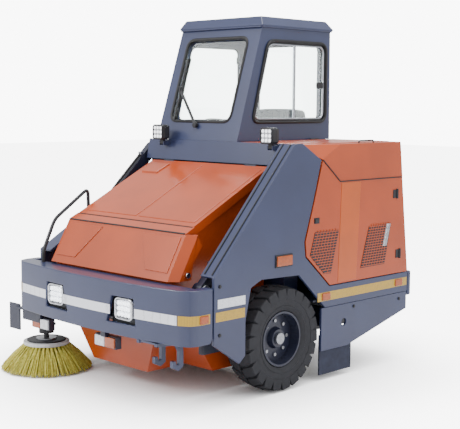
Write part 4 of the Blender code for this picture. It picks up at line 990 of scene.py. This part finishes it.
for label, sign in SIDES:
    x = sign * 0.757
    screw_row(f"lower_panel_screws_{label}", [(x, 0.600, 0.405), (x, 1.050, 0.392)],
              "x", sign, BLACK_ABS, "chassis")
    x = sign * 0.761
    screw_row(
        f"fender_screws_{label}", [(x, -0.520, 0.655), (x, -0.520, 0.400)], "x", sign, BLACK_ABS,
        "chassis"
    )
    pin = disc(f"nose_bolt_{label}", (sign * 0.5645, -0.560, 0.694), 0.016, 0.010, "x", 0.003, 24)
    wear(pin, CHROME_BOLT, "hopper")
    hub = disc(f"lift_pin_{label}", (sign * 0.6375, -0.500, 0.620), 0.026, 0.009, "x", 0.003, 28)
    wear(hub, ZINC_STEEL, "lift_arms")
    wear(
        block(
            f"skirt_clamp_{label}", sorted((sign * 0.727, sign * 0.7302)), (0.315, 0.595),
            (0.196, 0.226), 0.001
        ),
        ZINC_STEEL, "chassis"
    )
print("screws and pins made")

# %% [markdown]
# **The hopper lid and the nose** are pressed sheet. The lid has a low centre ridge
# and a raised pad; the nose has a trapezoid panel whose border is a crease. Each
# is a thin raised plate with soft edges, laid on the sheet it is pressed from.

# %% Pressings on the lid and the nose
LID_FRONT, LID_REAR = (-0.460, 0.938), (0.130, 1.235)
lid_slope = (LID_REAR[1] - LID_FRONT[1]) / (LID_REAR[0] - LID_FRONT[0])


def on_slope(name, outline, base, slope, thickness, sink, edge, material, body):
    """A thin plate with an (x, y) outline, lying on a sloping sheet."""
    piece = plate(name, outline, "z", -sink, thickness)
    for vert in piece.data.vertices:
        y = vert.co.y - AXLE_Y
        vert.co.z += base[1] + slope * (y - base[0])
    round_edges(piece, edge, 3, 25)
    return wear(piece, material, body)


def lid_plate(name, outline, thickness=0.004, edge=0.0025):
    return on_slope(
        name, outline, LID_FRONT, lid_slope, thickness, 0.002, edge, ORANGE_ENAMEL, "lid"
    )


lid_plate("lid_field_left", [(0.012, -0.430), (0.470, -0.430), (0.470, 0.095), (0.012, 0.095)])
lid_plate("lid_field_right", [(-0.470, -0.430), (-0.012, -0.430), (-0.012, 0.095), (-0.470, 0.095)])
lid_plate("lid_pad", [(-0.440, -0.020), (-0.300, -0.020), (-0.290, 0.080), (-0.440, 0.080)], 0.014, 0.005)

NOSE_LOW, NOSE_RUN, NOSE_RISE = (-0.659, 0.664), 0.134, 0.237
nose_slope = NOSE_RISE / NOSE_RUN


def nose_plate(name, corners, thickness, edge):
    """A plate on the nose face; each corner is x and a share of the face's height."""
    normal = Vector((0, -NOSE_RISE, NOSE_RUN)).normalized()
    piece = plate(name, [(x, NOSE_LOW[0] + NOSE_RUN * share) for x, share in corners], "z", 0.0, 0.001)
    for vert in piece.data.vertices:
        top = vert.co.z > 0.0005
        y = vert.co.y - AXLE_Y
        vert.co.z = NOSE_LOW[1] + nose_slope * (y - NOSE_LOW[0])
        vert.co += normal * (thickness if top else -0.002)
    round_edges(piece, edge, 3, 25)
    return wear(piece, ORANGE_ENAMEL, "hopper")


for label, sign in SIDES:
    corners = [(sign * 0.310, 0.17), (sign * 0.485, 0.17), (sign * 0.485, 0.93), (sign * 0.175, 0.93)]
    nose_plate(f"nose_side_field_{label}", corners, 0.0045, 0.0025)
beads = {"nose_seal": (-0.5240, 0.9050, 0.500), "lid_seal": (-0.4640, 0.9330, 0.496)}
for name, (y, z, half) in beads.items():
    wear(wire(name, [(-half, y, z), (half, y, z)], 0.009, False, 2), SEAL_RUBBER, "hopper")
for i, x in enumerate((0.680, 0.735)):
    wear(
        wire(f"flange_bead_{i}", [(x, -0.552, 0.716), (x, 0.045, 1.3705)], 0.009, False, 2),
        SEAL_RUBBER, "chassis"
    )
for label, sign in SIDES:
    wear(
        disc(f"lid_hinge_{label}", (sign * 0.350, 0.134, 1.232), 0.009, 0.090, "x", 0.002, 18),
        DARK_ENAMEL, "lid"
    )
print("pressings made")

# %% [markdown]
# **The service door** has two black intakes, each under a web of thin bars, an air
# hose over the rear one, two pin hinges on its rear edge and a deeper orange band
# between the intakes.

# %% Service door
GRILLES = {
    "front": [(0.231, 0.875), (0.442, 0.872), (0.375, 0.627), (0.315, 0.631), (0.190, 0.746)],
    "rear": [(0.726, 0.868), (0.945, 0.874), (0.885, 0.629), (0.650, 0.627)],
}


def level_span(outline, z):
    """Where a level line enters and leaves an outline."""
    hits = []
    for (y0, z0), (y1, z1) in zip(outline, outline[1:] + outline[:1]):
        if (z0 - z) * (z1 - z) < 0:
            hits.append(y0 + (y1 - y0) * (z - z0) / (z1 - z0))
    return (min(hits), max(hits)) if hits else (0, 0)


for label, outline in GRILLES.items():
    wear(
        plate(f"intake_mesh_{label}", outline, "x", SIDE + 0.0002, SIDE + 0.0022, 0.0008), BLACK_ABS,
        "service_door"
    )
    web = []
    low = min(z for _, z in outline)
    high = max(z for _, z in outline)
    rows = 16
    for i in range(rows):
        z = low + (high - low) * (i + 0.5) / rows
        y0, y1 = level_span(outline, z)
        if y1 - y0 > 0.03:
            web.append(block("bar", (SIDE + 0.0015, SIDE + 0.0036), (y0, y1), (z - 0.0022, z + 0.0022)))
            count = int((y1 - y0) / 0.024)
            for k in range(1, count):
                y = y0 + (y1 - y0) * k / count
                web.append(
                    block(
                        "post", (SIDE + 0.0015, SIDE + 0.0034), (y - 0.0020, y + 0.0020),
                        (z, z + (high - low) / rows)
                    )
                )
    wear(merged(f"intake_web_{label}", web), ORANGE_ENAMEL, "service_door")

wear(
    plate(
        "door_band", [(0.462, 1.143), (0.640, 1.143), (0.610, 0.568), (0.440, 0.568)], "x",
        SIDE - 0.0015, SIDE + 0.0022, 0.0016, 3
    ),
    DEEP_ORANGE_ENAMEL, "service_door"
)
rings = []
for i in range(18):
    t = i / 17
    spot = (SIDE + 0.0035, 0.880 + 0.035 * t, 0.745 + 0.125 * t)
    rings.append(disc("ring", spot, 0.021, 0.0052, "z", 0.0016, 20))
hose_piece = merged("corrugated_air_hose", rings)
ring_x = at(SIDE + 0.0035, 0, 0).x
for vert in hose_piece.data.vertices:
    vert.co.x = ring_x + (vert.co.x - ring_x) * 0.45
wear(hose_piece, REFLECTOR, "service_door")
for i, (y, z) in enumerate(((1.0005, 1.050), (1.038, 0.679))):
    knuckle = disc(f"door_hinge_{i}", (SIDE + 0.004, y, z), 0.007, 0.060, "z", 0.002, 18)
    leaf = block(
        f"door_hinge_leaf_{i}", (SIDE - 0.0005, SIDE + 0.003), (y - 0.040, y - 0.002),
        (z - 0.026, z + 0.026), 0.001
    )
    wear(merged(f"door_hinge_{i}", [knuckle, leaf]), BLACK_ABS, "service_door")
wear(
    block(
        "service_latch_plate", (SIDE - 0.0005, SIDE + 0.0012), (0.221, 0.268), (0.922, 0.956), 0.0006
    ),
    BLACK_ABS, "service_door"
)
print("service door dressed")

# %% [markdown]
# ** The hood** is one folded lid. Its seam with the door is a shadow line, painted as
# a black rubber bead: painted shadow. A raised field on its top stiffens it.

# %% Hood
wear(
    plate(
        "hood_field",
        [(0.260, 0.300), (0.600, 0.300), (0.700, 0.500), (0.700, 0.990), (0.260, 0.990)], "z", 1.3655,
        1.3695, 0.003, 3
    ),
    ORANGE_ENAMEL, "engine_hood"
)
for i, y in enumerate((0.420, 0.860)):
    wear(
        disc(f"hood_hinge_{i}", (0.2145, y, 1.3695), 0.006, 0.080, "y", 0.0015, 16), BLACK_ABS,
        "engine_hood"
    )
wear(
    wire(
        "hood_seam_painted_shadow_bead", [(0.7615, 0.294, 1.2775), (0.7615, 0.4490, 1.1508), (0.7615, 1.045, 1.1508)],
        0.007, False, 2
    ),
    SEAL_RUBBER, "engine_hood"
)
# A black bead on the seam: painted shadow for the dark gap between hood and door.
wear(
    wire(
        "hood_grip",
        rounded_route(
            [
                (0.740, 0.640, 1.357), (0.740, 0.640, 1.380), (0.740, 0.780, 1.380),
                (0.740, 0.780, 1.357)
            ],
            0.012
        ),
        0.009
    ),
    BLACK_ABS, "engine_hood"
)
print("hood dressed")

# %% [markdown]
# **Cab details.** The wiper has a pivot cap and a clip; the door has strap hinges;
# a drip rail runs round the roof; the sliding pane has a catch.

# %% Cab details
pivot_z = 1.475 - 0.018
pivot = (CAB_X - 0.016, front_y(pivot_z), pivot_z)
wear(
    disc("wiper_pivot_cap", (pivot[0], pivot[1] - 0.022, pivot[2]), 0.016, 0.014, "y", 0.004, 24),
    BLACK_ABS, "wiper_arm_body"
)
wear(
    block(
        "wiper_clip", (CAB_X - 0.235, CAB_X - 0.219),
        (front_y(1.676) - 0.024, front_y(1.676) - 0.008), (1.655, 1.697), 0.003
    ),
    BLACK_ABS, "wiper_blade_body"
)
for i, z in enumerate((0.760, 1.300, 1.880)):
    knuckle = disc(f"entry_hinge_{i}", (door_x - 0.022, 0.990, z), 0.009, 0.070, "z", 0.002, 18)
    leaf = block(
        "leaf", (door_x - 0.0215, door_x - 0.0175), (0.915, 0.986), (z - 0.022, z + 0.022), 0.001
    )
    wear(merged(f"entry_hinge_{i}", [knuckle, leaf]), BLACK_ABS, "entry_door")
rail_z = 2.0515
rail = [
    (CAB_X - 0.359, 0.380, rail_z), (CAB_X + 0.359, 0.380, rail_z), (CAB_X + 0.359, 1.041, rail_z),
    (CAB_X - 0.359, 1.041, rail_z)
]
wear(
    wire("roof_drip_rail", rounded_route(rail, 0.02, True), 0.009, True, 2), GREY_ENAMEL, "chassis",
)
wear(
    block("window_catch_0", (side_x - 0.004, side_x + 0.006), (0.900, 0.962), (1.690, 1.728), 0.003),
    BLACK_ABS, "sliding_window"
)
print("cab dressed")

# %% [markdown]
# **Seat.** A sprung seat has a crowned cushion whose sides pull in at the corners,
# a taller back, and stitched grooves. A subdivided box is inflated by moving its
# vertices, most in the middle of each face.

# %% Seat
def pad(name, x, y, z, crown):
    low, high = at(x[0], y[0], z[0]), at(x[1], y[1], z[1])
    piece = block(name, x, y, z)
    bpy.ops.object.mode_set(mode="EDIT")
    bpy.ops.mesh.select_all(action="SELECT")
    bpy.ops.mesh.subdivide(number_cuts=10)
    bpy.ops.object.mode_set(mode="OBJECT")
    centre = (low + high) / 2
    half = (high - low) / 2
    thin = min(range(3), key=lambda k: half[k])
    for vert in piece.data.vertices:
        share = [(vert.co[k] - centre[k]) / half[k] for k in range(3)]
        others = [k for k in range(3) if k != thin]
        dome = (1 - share[others[0]] ** 4) * (1 - share[others[1]] ** 4)
        groove = 0.004 * (abs(math.sin(share[others[0]] * math.pi * 2.5)) < 0.2)
        vert.co[thin] += share[thin] * (crown * (dome - 1.0) - groove)
        for k in others:
            squeeze = abs(share[[o for o in others if o != k][0]]) ** 3
            vert.co[k] -= share[k] * 0.012 * squeeze
    bevel = piece.modifiers.new("soft", "SUBSURF")
    bevel.levels = 1
    bevel.render_levels = 1
    pick(piece)
    bpy.ops.object.modifier_apply(modifier="soft")
    bpy.ops.object.shade_smooth()
    wear(piece, SEAT_VINYL, "driver_seat")
    return piece


cushion = pad(
    "seat_cushion_pad", (CAB_X - 0.235, CAB_X + 0.235), (0.548, 0.905), (0.990, 1.118), 0.022
)
pad("seat_back_pad", (CAB_X - 0.220, CAB_X + 0.220), (0.885, 0.978), (1.030, 1.558), 0.018)
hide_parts("seat")
wear(
    block("seat_pan", (CAB_X - 0.200, CAB_X + 0.200), (0.570, 0.890), (0.986, 0.994), 0.002),
    BLACK_ABS, "driver_seat"
)
print("seat made")

# %% [markdown]
# **Steering hub and console.** A round boss caps the wheel's hub, and the console
# carries an instrument cluster facing the driver.

# %% Console
UP = Vector((0.0, 0.19, 0.74)).normalized()
hub_at = Vector((CAB_X, 0.500, 1.440)) + UP * 0.024
boss = disc("steering_boss", tuple(hub_at), 0.036, 0.014, "z", 0.004, 28)
lean_back = UP.rotation_difference(Vector((0, 0, 1))).inverted().to_matrix().to_4x4()
tilt = about(at(*hub_at), lean_back)
boss.data.transform(tilt)
wear(boss, BLACK_ABS, "steering_hand_wheel")
wear(
    block(
        "instrument_cluster", (CAB_X - 0.090, CAB_X + 0.090), (0.250, 0.330), (1.195, 1.275), 0.010, 3
    ),
    BLACK_ABS, "chassis"
)
dials = [
    disc("dial", (CAB_X + dx, 0.3305, 1.238), 0.026, 0.004, "y", 0.001, 24) for dx in (-0.045, 0.045)
]
wear(merged("instrument_dials", dials), CLEAR_LENS, "chassis")
print("console dressed")

# %% [markdown]
# **Hydraulic hoses** run from the cowl down each lift arm to the hopper, clipped
# along the arm, so they move with it. A hose is a steel-braided rubber tube about
# 16 mm across with crimped ends.

# %% Hoses on the lift arms
ARM_REAR, ARM_FRONT = (0.215, 1.305), (-0.500, 0.620)


def along_arm(share, lift):
    """A place on the arm's line, lifted square off it."""
    y = ARM_REAR[0] + (ARM_FRONT[0] - ARM_REAR[0]) * share
    z = ARM_REAR[1] + (ARM_FRONT[1] - ARM_REAR[1]) * share
    return y - 0.692 * lift, z + 0.722 * lift


for label, sign in SIDES:
    route = []
    for share, lift in ((0.10, 0.048), (0.35, 0.050), (0.60, 0.048), (0.86, 0.050)):
        y, z = along_arm(share, lift)
        route.append((sign * 0.600, y, z))
    wear(
        wire(f"lift_hose_{label}", rounded_route(route, 0.02), 0.016, False, 3), SEAL_RUBBER,
        "lift_arms"
    )
    for i, share in enumerate((0.10, 0.48, 0.86)):
        y, z = along_arm(share, 0.046)
        clip = block(
            "hose_clip", (sign * 0.600 - 0.013, sign * 0.600 + 0.013), (y - 0.012, y + 0.012),
            (z - 0.012, z + 0.012), 0.003
        )
        wear(clip, ZINC_STEEL, "lift_arms")
        clip.name = f"lift_hose_clip_{label}_{i}"
print("hoses clipped")

# %% [markdown]
# **The machine's right side** carries the stay that holds the brush guard plate, a
# bracket, and two ports on the brush motor.

# %% Guard stay and motor ports
stay = wire(
    "brush_guard_stay", [(-0.780, -0.706, 0.352), (-0.740, -0.706, 0.352), (-0.735, -0.690, 0.364)],
    0.012
)
wear(stay, DARK_ENAMEL, "hopper")
wear(
    block("brush_bracket", (-0.700, -0.530), (-0.735, -0.705), (0.300, 0.362), 0.003), DARK_ENAMEL,
    "hopper"
)
for i, dx in enumerate((-0.014, 0.014)):
    wear(
        disc(
            f"motor_port_{i}", (BRUSH[0] + dx, BRUSH[1] + 0.048, 0.262), 0.009, 0.016, "y", 0.002, 6
        ),
        ZINC_STEEL, "side_brush_drive"
    )
print("guard stay made")

# %% [markdown]
# **Studio.** A pale floor, a soft key in front, a wide light above and a fill at the
# side, as a product is lit. The camera stands off the left front corner.

# %% Floor, light and camera
pick()
bpy.ops.mesh.primitive_plane_add(size=60, location=(0, 0, -0.0005))
ground = bpy.context.object
ground.name = "studio_floor"
ground.data.materials.append(STUDIO_FLOOR)

SKY_LIGHT = 1.0
SEEN_WHITE = 9.0
world = bpy.data.worlds.new("studio")
bpy.context.scene.world = world
world.use_nodes = True
sky = world.node_tree
ray = node(sky, "ShaderNodeLightPath")
seen = node(
    sky, "ShaderNodeMath",
    [(ray.outputs["Is Camera Ray"], 0), (ray.outputs["Is Transmission Ray"], 1)], operation="MAXIMUM"
)
level = node(sky, "ShaderNodeMath", [(seen.outputs["Value"], 0)], operation="MULTIPLY_ADD")
level.inputs[1].default_value = SEEN_WHITE - SKY_LIGHT
level.inputs[2].default_value = SKY_LIGHT
sky.nodes["Background"].inputs["Color"].default_value = (1.0, 1.0, 1.0, 1.0)
sky.links.new(level.outputs["Value"], sky.nodes["Background"].inputs["Strength"])


def softbox(name, place, target, size, power):
    """A large square area light aimed at a target."""
    light = bpy.data.lights.new(name, "AREA")
    light.shape = "SQUARE"
    light.size = size
    light.energy = power
    lamp = placed(name, light)
    lamp.location = place
    lamp.rotation_euler = (Vector(target) - Vector(place)).to_track_quat("-Z", "Y").to_euler()
    return lamp


softbox("key", (-2.5, -5.5, 4.5), (0, 0, 0.9), 2.5, 350)
softbox("top", (0.5, 0.5, 5.5), (0, 0, 1.0), 3.5, 260)
softbox("side_fill", (6.0, 1.5, 3.0), (0, 0, 0.8), 3.0, 120)

TURN, DROP, ROLL = 0.7798, 0.1052, 0.0065
CAMERA_AT = at(4.5671, -4.2992, 1.5953)
forward = Vector((-math.sin(TURN) * math.cos(DROP), math.cos(TURN) * math.cos(DROP), -math.sin(DROP)))
right = Vector((math.cos(TURN), math.sin(TURN), 0.0))
up = right.cross(forward)
right_rolled = right * math.cos(ROLL) + up * math.sin(ROLL)
up_rolled = up * math.cos(ROLL) - right * math.sin(ROLL)
camera_data = bpy.data.cameras.new("camera")
camera_data.sensor_width = 36.0
camera_data.lens = 82.8
camera = placed("camera", camera_data)
camera.matrix_world = Matrix.Translation(CAMERA_AT) @ Matrix((
    (right_rolled.x, up_rolled.x, -forward.x), (right_rolled.y, up_rolled.y, -forward.y),
    (right_rolled.z, up_rolled.z, -forward.z),
)).to_4x4()
bpy.context.scene.camera = camera
print("camera at", [round(v, 3) for v in CAMERA_AT])
